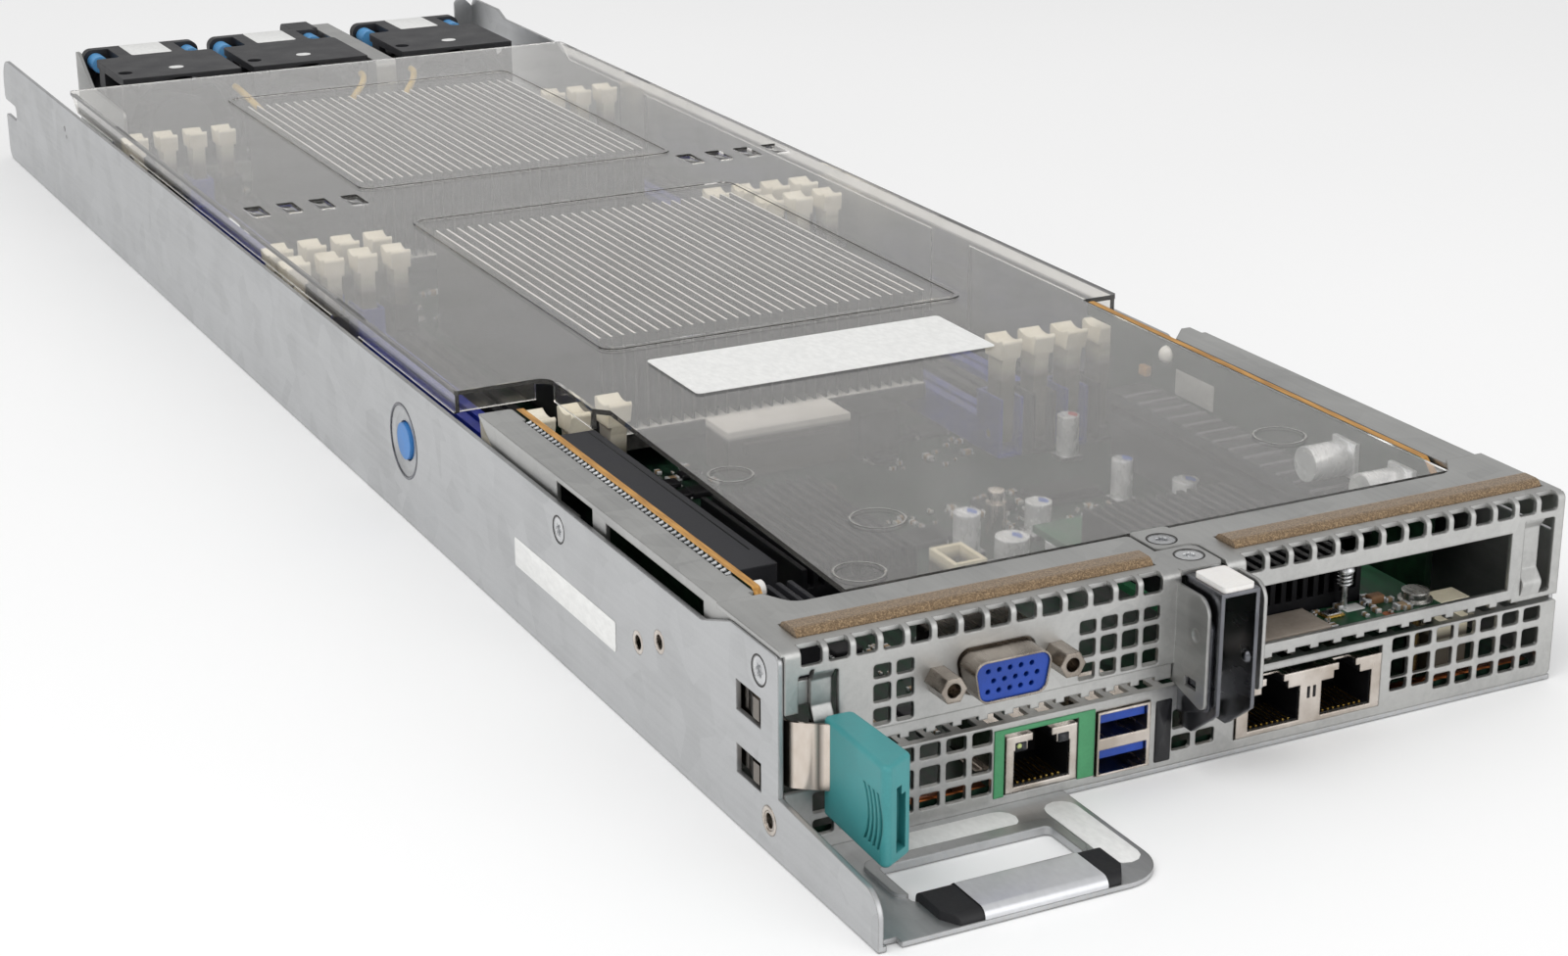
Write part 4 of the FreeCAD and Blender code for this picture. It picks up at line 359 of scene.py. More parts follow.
def plated(name, tones, gloss, scale=700.0, relief=0.000006, foot=None, metal=1.0):
    """Plated metal: faint cloudy tarnish in the tone and fine scratches in the gloss."""
    dark, light = tones
    tree, shader, where = start_finish(name, Metallic=metal)
    tarnish = noise(tree, where, 160.0, 5.0)
    scratches = noise(tree, where, scale, 3.0, (1, 0.15, 0.4))
    rolled, _ = soft_edges(tree, EDGE_RADIUS)
    tone = ramp(tree, tarnish, (0.35, dark), (0.65, light))
    if foot is not None:
        tone = with_lower_tone(tree, where, tone, foot)
    tree.links.new(tone, shader.inputs["Base Color"])
    tree.links.new(ramp(tree, scratches, (0.3, gloss[0]), (0.7, gloss[1])), shader.inputs["Roughness"])
    set_relief(tree, shader, scratches, relief, rolled)


plated("bright_zinc", ("b9babc", "dadbdc"), (0.18, 0.34))
radii, rises = screw_rings(-1)
top_heads = turned(TOP_SCREWS, "z", radii, rises)
radii, rises = screw_rings(1)
wall_heads = turned(WALL_SCREWS, "x", radii, rises)
screws = make_piece("lobed_screws", [top_heads, wall_heads], "bright_zinc")
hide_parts("flat_head_screws")

# Painted shade: a thin dark ring laid round each screw head.
SEAT_RADII = (2.75, 2.8, 3.05, 3.1, 2.75)
SEAT_RISES = (0.005, 0.05, 0.05, 0.005, 0.005)
plated("seat_shade", ("3c3b3a", "575553"), (0.4, 0.55))
make_piece("screw_seat_shades", [turned(TOP_SCREWS, "z", SEAT_RADII, SEAT_RISES),
                           turned(WALL_SCREWS, "x", SEAT_RADII, -np.array(SEAT_RISES))],
           "seat_shade")


# Tubular rivets and the eyelet: nickel-plated steel set through the left wall; the rivets hold the
# root of the release spring.

EYELET = (0.0, 4.2, 6.6)
EYELET_RADII = (1.75, 1.95, 2.6, 2.95, 1.75)
EYELET_RISES = (-0.005, -0.1, -0.12, -0.005, -0.005)

plated("nickel_plate", ("b8ada2", "ddd5cd"), (0.14, 0.3))
dress("nickel_plate", "tubular_rivets")
make_piece("eyelet_flange", [turned((EYELET,), "x", EYELET_RADII, EYELET_RISES)],
           "nickel_plate")


# Centre guide: bright steel channel with ears that stands before the joint of the two upper
# panels, with a white slide pad on top.

plated("guide_steel", ("6a6b70", "7c7d82"), (0.2, 0.3), 500.0, 0.000002)
dress("guide_steel", "centre_guide")
moulded("white_moulding", ("e6e1dc", "f2eeea"), (0.35, 0.5), Subsurface_Weight=0.05)
dress("white_moulding", "guide_pad")


# Handle dressing: moulded rubber grip over the front bar of the pull handle, wrapped with a bare
# silver tape; bare white paper stickers on the handle, the left wall and the fans.

TAPE_SPAN = (21.0, 46.0)
GRIP_FRONT = -36.2
GRIP_REAR = -24.4
GRIP_TOP = 2.9
GRIP_ROUND = 1.7
TAPE_SKIN = 0.2
TAPE_FOOT = 1.02
PAPER = 0.14
PLATE_TOP = 1.0
STICKER_ROUND = 3.2
HANDLE_STICKERS = (((17.0, -8.7, PLATE_TOP), (45.9, -2.0, PLATE_TOP + PAPER)),
                   ((51.8, -30.0, PLATE_TOP), (58.4, -3.4, PLATE_TOP + PAPER)))
WALL_STICKER = ((-PAPER, 71.5, 13.4), (0.0, 124.4, 19.9))
FAN_CENTRES = (41.6, 85.8, 138.5)
FAN_STICKER = (14.0, 18.0)
FAN_STICKER_REAR = 574.5
FAN_TOP = 41.0


def paper(name, tones, gloss, ripple=0.00004, **plain):
    """Label stock: soft fibre mottling in the tone and a slight cockle."""
    tree, shader, where = start_finish(name, **plain)
    fibres = noise(tree, where, 900.0, 5.0, (1, 0.5, 1))
    cockle = noise(tree, where, 90.0, 2.0)
    tree.links.new(ramp(tree, fibres, (0.3, tones[0]), (0.7, tones[1])), shader.inputs["Base Color"])
    tree.links.new(ramp(tree, fibres, (0.3, gloss[0]), (0.7, gloss[1])), shader.inputs["Roughness"])
    set_relief(tree, shader, cockle, ripple)


def tape_strip():
    """Tape: a thin skin that follows the grip's section up its front, over its top and down its back.
    The section is two quarter circles joined by straight runs, once outside and back inside."""
    turn = np.linspace(0, np.pi / 2, 8)
    skins = []
    for skin in (TAPE_SKIN, 0.0):
        front = GRIP_FRONT + GRIP_ROUND - (GRIP_ROUND + skin) * np.cos(turn)
        back = GRIP_REAR - GRIP_ROUND + (GRIP_ROUND + skin) * np.sin(turn)
        crown = GRIP_TOP - GRIP_ROUND + (GRIP_ROUND + skin) * np.sin(turn)
        y = np.concatenate(([front[0]], front, back, [back[-1]]))
        z = np.concatenate(([TAPE_FOOT], crown, crown[::-1], [TAPE_FOOT]))
        skins.append(np.stack((y, z), axis=-1))
    section = np.concatenate((skins[0], skins[1][::-1]))
    x = np.array(TAPE_SPAN)[:, None] + 0 * section[:, 0]
    return np.stack(np.broadcast_arrays(x, section[:, 0], section[:, 1]), axis=-1)


moulded("grip_rubber", ("0d0d10", "16161a"), (0.5, 0.7), 0.00003, 1200.0)
dress("grip_rubber", "handle_grip")
paper("bare_paper", ("e4e4e2", "f0f0ee"), (0.45, 0.6))
paper("silver_tape", ("d2d3d6", "dadbde"), (0.3, 0.36), 0.000005, Metallic=0.6)
tape = make_piece("grip_tape", [tape_strip()], "silver_tape")
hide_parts("bare_labels")
fan_papers = []
for x in FAN_CENTRES:
    width, length = FAN_STICKER
    fan_papers.append(slab((x - width / 2, FAN_STICKER_REAR - length, FAN_TOP),
                           (x + width / 2, FAN_STICKER_REAR, FAN_TOP + PAPER), corner=0.8, edge=0.05))
handle_papers = [slab(*sticker, corner=STICKER_ROUND, edge=0.05) for sticker in HANDLE_STICKERS]
wall_paper = slab(*WALL_STICKER, corner=0.6, edge=0.05, facing="x")
make_piece("blank_stickers", handle_papers + [wall_paper] + fan_papers, "bare_paper")


# Release latch: a nickel-plated spring strip riveted inside the left wall, with catches in the wall
# windows and a moulded teal thumb grip on its end. Two rolls bent into its front are drawn as a bump,
# and the dark bands at their creases are painted shade.

SPRING_BEND = (1.75, 10.4)
SPRING_ROLLS = 2

tree, shader, where = start_finish("spring_nickel", Metallic=1.0)
across = along_axis(tree, where, *[LEFT_FACE + x * MM for x in SPRING_BEND], "X")
turn = math_node(tree, "SINE", math_node(tree, "MULTIPLY", across, SPRING_ROLLS * np.pi))
roll = math_node(tree, "ABSOLUTE", turn)
scratches = noise(tree, where, 700.0, 3.0, (1, 0.15, 0.4))
bright = ramp(tree, scratches, (0.3, "cdc1b5"), (0.7, "dad0c6"))
# Painted shade: the base colour darkens where the strip's two rolls crease.
painted_crease_shade = ramp(tree, roll, (0.05, 0.85), (0.55, 0.0))
tree.links.new(blend_colours(tree, painted_crease_shade, bright, "5b5650"), shader.inputs["Base Color"])
tree.links.new(ramp(tree, scratches, (0.3, 0.18), (0.7, 0.24)), shader.inputs["Roughness"])
set_relief(tree, shader, roll, 0.0008)
dress("spring_nickel", "spring_anchor", "release_spring")
moulded("teal_moulding", ("38888a", "429496"), (0.34, 0.48), 0.000012, 2400.0)
dress("teal_moulding", "release_grip")


# Side button: round light-blue moulding that shows in the dished hole of the left wall. A narrow bead
# of the darker guide steel round the dish's shoulder stands in for the pressed rim's shade line.

DISH_CENTRE = (0.0, 193.5, 19.9)
BEAD_RADIUS = 8.8
BEAD_HALF_WIDTH = 0.4
BEAD_HEIGHT = 0.12

bead = np.linspace(0, 2 * np.pi, 13)
bead_radii = BEAD_RADIUS + BEAD_HALF_WIDTH * np.cos(bead)
bead_rises = -BEAD_HEIGHT * np.sin(bead)
moulded("sky_plastic", ("2f74b8", "3f86cc"), (0.32, 0.45))
dress("sky_plastic", "duct_button")
# Painted shade: the darker steel bead marks the shade line of the pressed rim.
make_piece("dish_bead", [turned((DISH_CENTRE,), "x", bead_radii, bead_rises, columns=64)],
           "guide_steel")


# Main board: green laminate with copper traces under the mask, screwed to pads in the tray floor.
# Small soldered parts stand on it: ceramic chips with tinned ends, and black packages with legs.

BOARD_TOP = 4.4
PART_FIELDS = ((28, 72, 26, 70, 70), (28, 70, 92, 158, 80), (90, 128, 112, 134, 50),
               (128, 152, 78, 117, 60), (50, 70, 166, 186, 18), (110, 136, 156, 186, 26),
               (50, 136, 306, 356, 90), (18, 150, 472, 492, 60))
SCATTER_SEED = 21
PLACE_STEP = 0.8
CERAMIC_SIZES = ((1.0, 0.5, 0.5), (1.6, 0.8, 0.7), (2.0, 1.2, 0.9), (3.2, 1.6, 1.2))
CERAMIC_SHARES = (0.35, 0.35, 0.2, 0.1)
FREE_SHARE = 0.76
TIN_SKIN = 0.04
PACKAGE_SIZES = ((5.0, 4.0, 1.4), (6.4, 5.2, 1.6), (8.0, 8.0, 1.5))
PACKAGES_PER_FIELD = 4
PACKAGE_LIFT = 0.1
LEG_PITCH = 1.0
LEG_SIZE = (1.0, 0.4, 0.5)
LEG_MARGINS = (0.7, 0.4)
SPACER_TOP = (17.0, 18.5, "4a3c22")
EDGE_COPPER = (((14.0, 2.1), (44.0, 5.0)), ((135.0, 2.1), (172.0, 5.0)))
FOIL = 0.1

tree, shader, where = start_finish("board_mask", Specular_IOR_Level=0.15)
cells = add_node(tree, "TexVoronoi", {"distance": "CHEBYCHEV", "feature": "F2"}, Vector=where,
                 Scale=260.0).outputs["Distance"]
lanes = add_node(tree, "TexWave", {"bands_direction": "X"}, Vector=where, Scale=110.0, Distortion=3.0,
                 Detail=1.0).outputs["Fac"]
vias = add_node(tree, "TexVoronoi", Vector=where, Scale=420.0, Randomness=0.6).outputs["Distance"]
copper = math_node(tree, "ADD", math_node(tree, "MULTIPLY", cells, 0.5),
                   math_node(tree, "MULTIPLY", lanes, 0.3))
mask = ramp(tree, copper, (0.25, "0f1b15"), (0.5, "16291f"), (0.75, "20392b"))
spots = ramp(tree, vias, (0.1, 1.0), (0.16, 0.0))
tree.links.new(blend_colours(tree, spots, mask, "a89a6a"), shader.inputs["Base Color"])
tree.links.new(ramp(tree, copper, (0.3, 0.3), (0.7, 0.45)), shader.inputs["Roughness"])
set_relief(tree, shader, copper, 0.00003)
dress("board_mask", "main_board")


def block(low, high):
    """Slab with square corners and hardly any rim, for small parts that come in hundreds."""
    return slab(low, high, corner=0.05, edge=0.05, turns=1, rolls=2)


def scatter(rng, field):
    """Places of small parts in a field, with a lengthwise or crosswise turn for each."""
    x0, x1, y0, y1, count = field
    spot = rng.uniform((x0, y0), (x1, y1), (count, 2))
    spot = np.round(spot / PLACE_STEP) * PLACE_STEP
    return spot, rng.random(count) < 0.5


def small_parts(rng, fields, level):
    """Ceramic bodies and their tinned ends as low and high corners, standing on a card's upper face."""
    bodies = []
    ends = []
    for field in fields:
        spot, lengthwise = scatter(rng, field)
        size = rng.choice(CERAMIC_SIZES, len(spot), p=CERAMIC_SHARES)
        size = np.where(lengthwise[:, None], size[:, (1, 0, 2)], size)
        low = np.column_stack((spot - size[:, :2] / 2, np.full(len(spot), level)))
        high = np.column_stack((spot + size[:, :2] / 2, level + size[:, 2]))
        bodies.append((low, high))
        along = np.where(lengthwise[:, None], (0, 1, 0), (1, 0, 0))
        reach = along * (high - low) * FREE_SHARE
        aside = np.array((TIN_SKIN, TIN_SKIN, 0.0))
        ends.append((low - aside, high - reach + TIN_SKIN))
        ends.append((low + reach - aside, high + TIN_SKIN))
    return bodies, ends


def packages(rng):
    """Black packages and the legs along their long sides as low and high corners."""
    bodies = []
    legs = []
    for field in PART_FIELDS:
        spot, _ = scatter(rng, (*field[:4], PACKAGES_PER_FIELD))
        for x, y in spot:
            width, length, height = PACKAGE_SIZES[rng.integers(len(PACKAGE_SIZES))]
            bodies.append(((x - width / 2, y - length / 2, BOARD_TOP + PACKAGE_LIFT),
                           (x + width / 2, y + length / 2, BOARD_TOP + height)))
            rows = np.arange(y - length / 2 + LEG_MARGINS[0], y + length / 2 - LEG_MARGINS[1], LEG_PITCH)
            for side in (-1, 1):
                foot = x + side * width / 2 - LEG_SIZE[0] / 2
                low = np.column_stack((0 * rows + foot, rows - LEG_SIZE[1] / 2, 0 * rows + BOARD_TOP))
                legs.append((low, low + LEG_SIZE))
    return np.array(bodies), legs


rng = np.random.default_rng(SCATTER_SEED)
ceramic, tinned = small_parts(rng, PART_FIELDS, BOARD_TOP)
package_bodies, package_legs = packages(rng)
moulded("ceramic_tan", ("6f5a42", "9a8160"), (0.35, 0.5))
plated("solder", ("b5b7b9", "dedfe0"), (0.2, 0.35), metal=0.5)
moulded("package_black", ("141416", "1f1f22"), (0.35, 0.5), Specular_IOR_Level=0.2)
make_piece("ceramic_parts", [block(*corners) for corners in ceramic], "ceramic_tan")
make_piece("solder_ends", [block(*corners) for corners in tinned + package_legs], "solder")
package_shapes = slab(package_bodies[:, 0], package_bodies[:, 1], corner=0.25, edge=0.2, turns=2, rolls=2)
make_piece("chip_packages", [package_shapes], "package_black")
plated("screw_zinc", ("b4b2ae", "d6d4d0"), (0.2, 0.34), foot=SPACER_TOP)
dress("screw_zinc", "pan_head_screws")
plated("bare_copper", ("7d4526", "a8643a"), (0.25, 0.4))
foils = [slab((*low, BOARD_TOP), (*high, BOARD_TOP + FOIL), corner=0.4, edge=0.04)
         for low, high in EDGE_COPPER]
make_piece("edge_copper", foils, "bare_copper")


# Processor sockets and heat sinks: black moulded frames with nickel-plated packages, and under
# the duct two bare aluminium heat sinks whose fins run along the air flow.

tree, shader, where = start_finish("bare_aluminium")
drawn = noise(tree, where, 600.0, 3.0, (1, 0.04, 1))
# Painted light and shade: faces turned up get a near-white, less metallic tone; side faces get dark grey.
upward = add_node(tree, "SeparateXYZ", Vector=add_node(tree, "NewGeometry").outputs["Normal"]).outputs["Z"]
painted_top_light = ramp(tree, upward, (0.4, 0.0), (0.6, 1.0))
painted_side_shade = ramp(tree, drawn, (0.3, "4c4c4b"), (0.7, "646462"))
tops = ramp(tree, drawn, (0.3, "ecebe8"), (0.7, "faf9f7"))
tree.links.new(blend_colours(tree, painted_top_light, painted_side_shade, tops), shader.inputs["Base Color"])
tree.links.new(ramp(tree, upward, (0.4, 1.0), (0.6, 0.2)), shader.inputs["Metallic"])
tree.links.new(ramp(tree, drawn, (0.3, 0.38), (0.7, 0.55)), shader.inputs["Roughness"])
set_relief(tree, shader, drawn, 0.00001)
dress("bare_aluminium", "heat_sink_front", "heat_sink_rear")
dress("package_black", "cpu_sockets")


# Memory sockets: blue and black moulded slots in turn, each with an ivory lever latch at both ends
# that swings outward on its cross pins.

# Painted shade: each lever darkens from its crown down towards the socket.
LEVER_SHADE = (23.0, 30.0, "57534a")

moulded("deep_blue", ("121e70", "1b2c94"), (0.3, 0.42))
dress("deep_blue", "dimm_sockets_blue")
dress("package_black", "dimm_sockets_black")
moulded("ivory_moulding", ("dfd6c0", "f2ecdc"), (0.38, 0.52), foot=LEVER_SHADE)
dress("ivory_moulding", "latches_front_bank_front", "latches_front_bank_rear", "latches_rear_bank_front",
      "latches_rear_bank_rear")


# Board furniture: white power header, ivory wire headers, can capacitors in bare aluminium with
# black feet and a coloured mark on top, a sprung spacer, the management chip and a choke.

POWER_LID = (14.0, 15.0, "3a3631")
# Painted shade: the ivory headers darken below their crowns.
PLUG_SHADE = (12.0, 14.0, "4a4336")
CAN_FOOT = (5.5, 5.7, "101012")
RED_TOPS = ((153.0, 147.0, 15.6),)
BLUE_TOPS = ((99.1, 103.5, 14.4), (119.4, 106.2, 12.6), (103.6, 91.5, 12.0), (110.5, 83.1, 12.6),
             (148.0, 115.6, 15.0), (154.7, 99.4, 14.0))
MARK_RADIUS = 2.3
MARK_RISES = (0.01, 0.01, 0.04, 0.04)
MARK_CUT = 0.3
MARK_COLUMNS = 24
SPACER = (110.2, 109.5, BOARD_TOP)
SPACER_RADII = (0.0, 2.4, 2.4, 1.3, 1.3, 2.2, 2.0, 0.0)
SPACER_RISES = (0.0, 0.0, 8.6, 8.6, 9.4, 9.4, 11.4, 11.6)

moulded("power_white", ("ece8e4", "f8f5f2"), (0.35, 0.5), foot=POWER_LID)
dress("power_white", "power_connector")
moulded("plug_ivory", ("d8cdb0", "efe7cf"), (0.38, 0.52), foot=PLUG_SHADE)
dress("plug_ivory", "board_connectors")
plated("can_metal", ("c4c7cc", "e8eaee"), (0.2, 0.34), foot=CAN_FOOT, metal=0.4)
dress("can_metal", "board_capacitors")
dress("package_black", "board_chips")
turn = np.arange(MARK_COLUMNS) * 2 * np.pi / MARK_COLUMNS
wedge = MARK_RADIUS * (np.cos(turn) > MARK_CUT)
mark_radii = np.stack((0 * wedge, wedge, wedge, 0 * wedge))
moulded("mark_red", ("a83238", "bc4048"), (0.3, 0.4))
moulded("mark_blue", ("3c5aa8", "4a6abc"), (0.3, 0.4))
for name, tops in (("mark_red", RED_TOPS), ("mark_blue", BLUE_TOPS)):
    make_piece("can_" + name, [turned(tops, "z", mark_radii, MARK_RISES, MARK_COLUMNS)],
               name)
make_piece("spring_spacer", [turned((SPACER,), "z", SPACER_RADII, SPACER_RISES)],
           "nickel_plate")


# Riser cards: upright laminate cards held by the bracket rails, each with a slot lying sideways and
# a header on the board. The sawn top edges show the tan core; solder pins stand out of the back.
# A bare label, a white dome and a fuse sit on the right card, a white standoff on the left one.

CARD_FACE = 10.0
PIN_ROW = (40.0, 139.0)
PIN_PITCH = 2.0
PIN_RADIUS = 0.35
PIN_REACH = 1.1
PIN_HEIGHT = 39.7
SLOT_GROOVE = ((20.55, 53.6, 37.78), (20.95, 131.8, 37.83))
RIB_ROW = np.arange(53.0, 130.0, 6.0)
RIB_LOW = (154.2, -0.5, 26.18)
RIB_HIGH = (164.8, 0.5, 26.6)
CARD_LABEL = ((164.86, 104.5, 27.0), (165.0, 119.9, 33.2))
CARD_DOME = (165.0, 123.8, 35.6)
DOME_RADII = (0, 2.2, 2.0, 1.5, 0.8, 0)
DOME_RISES = (0, 0, -0.8, -1.5, -1.95, -2.1)
STANDOFF = (11.6, 36.0, 37.2)
STANDOFF_RADII = (0, 1.8, 1.8, 1.5, 0)
STANDOFF_RISES = (0, 0, 3.0, 3.3, 3.3)
CARD_FUSE = ((163.4, 130.0, 28.4), (165.0, 133.2, 30.8))

tree, shader, where = start_finish("card_laminate", Specular_IOR_Level=0.15)
up = add_node(tree, "SeparateXYZ", Vector=add_node(tree, "NewGeometry").outputs["Normal"]).outputs["Z"]
fibre = noise(tree, where, 1500.0, 3.0, (1, 0.1, 1))
core = ramp(tree, fibre, (0.3, "9c6f38"), (0.7, "cc9b58"))
face = ramp(tree, noise(tree, where, 420.0, 3.0), (0.35, "0b1a11"), (0.65, "122a1a"))
sawn = ramp(tree, up, (0.4, 0.0), (0.6, 1.0))
tree.links.new(blend_colours(tree, sawn, face, core), shader.inputs["Base Color"])
tree.links.new(ramp(tree, fibre, (0.3, 0.38), (0.7, 0.55)), shader.inputs["Roughness"])
set_relief(tree, shader, fibre, 0.00002)
dress("card_laminate", "riser_card_left", "riser_card_right")
moulded("slot_black", ("232326", "303034"), (0.42, 0.58), Specular_IOR_Level=0.2)
dress("slot_black", "riser_slots", "riser_board_connectors", "card_guide")
# Painted shade: a near-black film along the slot's top stands in for its groove.
moulded("groove_dark", ("050506", "09090a"), (0.6, 0.8))
make_piece("slot_groove_shade", [slab(*SLOT_GROOVE, corner=0.15, edge=0.01)], "groove_dark")
moulded("rib_grey", ("5c5c60", "6a6a6e"), (0.4, 0.55))
steps = np.column_stack((0 * RIB_ROW, RIB_ROW, 0 * RIB_ROW))
ribs = slab(RIB_LOW + steps, RIB_HIGH + steps, corner=0.2, edge=0.1, turns=2, rolls=2)
make_piece("slot_ribs", [ribs], "rib_grey")
paper("grey_paper", ("8e8e8c", "9c9c9a"), (0.45, 0.6))
make_piece("card_label", [slab(*CARD_LABEL, corner=0.5, edge=0.05, facing="x")], "grey_paper")
make_piece("card_dome", [turned((CARD_DOME,), "x", DOME_RADII, DOME_RISES)],
           "white_moulding")
make_piece("card_standoff", [turned((STANDOFF,), "x", STANDOFF_RADII, STANDOFF_RISES)],
           "white_moulding")
moulded("fuse_orange", ("9a7448", "b08a5c"), (0.35, 0.5))
make_piece("card_fuse", [slab(*CARD_FUSE, corner=0.3, edge=0.2, facing="x")], "fuse_orange")
pin_y = np.arange(*PIN_ROW, PIN_PITCH)
pins = np.column_stack((0 * pin_y + CARD_FACE, pin_y, 0 * pin_y + PIN_HEIGHT))
pin_radii = PIN_RADIUS * np.array((0, 1.6, 1.2, 0.7, 0))
pin_rises = (0.02, 0.0, -0.4, -PIN_REACH, -PIN_REACH - 0.1)
make_piece("riser_pins", [turned(pins, "x", pin_radii, pin_rises, columns=8)], "solder")


# Upper card: a small green card behind the wide opening of the right panel, with a taupe thermal
# pad, small soldered parts and a black finned heat sink held by a screw in a coil spring. The
# black sink on the board has the same finish.

UPPER_TOP = 20.6
UPPER_FIELDS = ((121.5, 143.0, 3.0, 11.0, 28),)
CRYSTAL = ((124.0, 6.6, UPPER_TOP), (128.6, 9.8, UPPER_TOP + 0.5))
CRYSTAL_LID = ((124.4, 7.0, UPPER_TOP + 0.5), (128.2, 9.4, UPPER_TOP + 0.8))
TANTALUM = ((136.5, 8.7, UPPER_TOP), (139.7, 10.9, UPPER_TOP + 1.7))
BARE_PRINT = ((130.0, 8.0, UPPER_TOP), (134.6, 11.2, UPPER_TOP + 0.06))
COPPER_PAD = (136.9, 3.7, UPPER_TOP)
PAD_RADII = (0, 1.3, 1.2, 0)
PAD_RISES = (0.0, 0.0, 0.08, 0.08)
SINK_SCREW = (130.5, 10.0, UPPER_TOP)
COIL_RADIUS = 1.35
COIL_SPAN = (5.0, 8.2)
COIL_TURNS = 4
COIL_WIRE = 0.3
SCREW_RADII = (0, 0.7, 0.7, 1.9, 1.9, 1.5, 0)
SCREW_RISES = (0, 0, 8.2, 8.2, 8.7, 9.3, 9.4)

tree, shader, where = start_finish("upper_mask", Specular_IOR_Level=0.3)
tracks = noise(tree, where, 500.0, 3.0, (1, 0.2, 1))
tree.links.new(ramp(tree, tracks, (0.35, "173e28"), (0.65, "24563a")), shader.inputs["Base Color"])
tree.links.new(ramp(tree, tracks, (0.3, 0.35), (0.7, 0.5)), shader.inputs["Roughness"])
set_relief(tree, shader, tracks, 0.00002)
dress("upper_mask", "mezzanine_card")
moulded("taupe_pad", ("8a7f74", "a0958a"), (0.6, 0.8), 0.00003, 900.0)
dress("taupe_pad", "mezzanine_pad")
moulded("anodised_fins", ("101012", "1c1c1f"), (0.4, 0.55), Metallic=0.4, Specular_IOR_Level=0.2)
dress("anodised_fins", "black_heat_sinks")


def tube(path, radius, columns=8):
    """Round tube: a circle carried along a path, square to it at every point, with closed ends."""
    path = np.asarray(path, float)
    ahead = np.gradient(path, axis=0)
    ahead /= np.linalg.norm(ahead, axis=1)[:, None]
    side = np.cross(ahead, (0, 0, 1))
    side /= np.linalg.norm(side, axis=1)[:, None]
    over = np.cross(side, ahead)
    turn = (np.arange(columns) * 2 * np.pi / columns)[:, None]
    rings = path[:, None] + radius * (np.cos(turn) * side[:, None] + np.sin(turn) * over[:, None])
    ends = np.repeat(path[[0, -1], None], columns, axis=1)
    return np.concatenate((ends[:1], rings, ends[1:]))


def coil(foot, radius, span, turns):
    """Helix round an upright axis: turns at an even pitch between two heights over the foot."""
    share = np.linspace(0, 1, turns * 16 + 1)
    angle = share * turns * 2 * np.pi
    around = np.stack((radius * np.cos(angle), radius * np.sin(angle)), axis=-1)
    rise = span[0] + (span[1] - span[0]) * share
    return np.asarray(foot) + np.column_stack((around, rise))


ceramic, tinned = small_parts(rng, UPPER_FIELDS, UPPER_TOP)
make_piece("upper_ceramics", [block(*corners) for corners in ceramic], "ceramic_tan")
make_piece("upper_solder", [block(*corners) for corners in tinned], "solder")
plated("contact_gold", ("b08a3c", "d8b868"), (0.2, 0.3))
make_piece("crystal_base", [slab(*CRYSTAL, corner=0.4, edge=0.1)], "contact_gold")
make_piece("crystal_lid", [slab(*CRYSTAL_LID, corner=0.4, edge=0.1)], "bright_zinc")
moulded("tantalum_brown", ("6a4a2e", "84603e"), (0.4, 0.55))
make_piece("tantalum", [slab(*TANTALUM, corner=0.2, edge=0.15)], "tantalum_brown")
make_piece("bare_print", [slab(*BARE_PRINT, corner=0.3, edge=0.02)], "bare_paper")
make_piece("copper_pad", [turned((COPPER_PAD,), "z", PAD_RADII, PAD_RISES)], "bare_copper")
spring = tube(coil(SINK_SCREW, COIL_RADIUS, COIL_SPAN, COIL_TURNS), COIL_WIRE)
make_piece("sink_screw", [turned((SINK_SCREW,), "z", SCREW_RADII, SCREW_RISES), spring],
           "bright_zinc")


# Ports: folded nickel-plated shields with black cores, the green film round the single network
# port, stacked ports with blue tongues, and the video port with its hexagonal jack screws. The
# network ports have gold contacts; the single one has two dark lamps, and two thin black inlays on
# the twin one's shield are painted shade for its slits.

JACK_MIDDLES = (54.4, 107.1, 124.3)
JACK_CONTACTS = 1.27 * (np.arange(8) - 3.5)
CONTACT_LOW = (-0.22, 0.8, 4.26)
CONTACT_HIGH = (0.22, 9.0, 4.6)
LAMP_PLACES = (49.8, 59.0)
LAMP_LOW = (-1.2, -0.38, 11.4)
LAMP_HIGH = (1.2, -0.29, 13.2)
LENS = (49.4, -0.38, 12.5)
LENS_RADII = (0, 0.55, 0.4, 0)
LENS_RISES = (0.02, 0.0, -0.12, -0.16)
TWIN_SLITS = (115.2, 116.6)
SLIT_LOW = (-0.35, -0.34, 8.5)
SLIT_HIGH = (0.35, -0.29, 11.0)

dress("nickel_plate", "lan_shell", "twin_lan_shell", "usb_shell")
plated("dull_nickel", ("8a8178", "b0a79d"), (0.2, 0.32))
dress("dull_nickel", "vga_shell", "vga_jack_screws")
moulded("core_black", ("0b0b0d", "141417"), (0.35, 0.5))
dress("core_black", "lan_cores")
contact_x = (np.array(JACK_MIDDLES)[:, None] + JACK_CONTACTS).ravel()
steps = np.column_stack((contact_x, 0 * contact_x, 0 * contact_x))
make_piece("jack_contacts", [block(CONTACT_LOW + steps, CONTACT_HIGH + steps)], "contact_gold")
steps = np.column_stack((LAMP_PLACES, (0, 0), (0, 0)))
moulded("lamp_grey", ("26262a", "303036"), (0.15, 0.25))
lamps = slab(LAMP_LOW + steps, LAMP_HIGH + steps, corner=0.2, edge=0.04, facing="y")
make_piece("jack_lamps", [lamps], "lamp_grey")
moulded("lens_green", ("b8c878", "d6e29a"), (0.12, 0.2))
make_piece("lamp_lens", [turned((LENS,), "y", LENS_RADII, LENS_RISES, columns=20)],
           "lens_green")
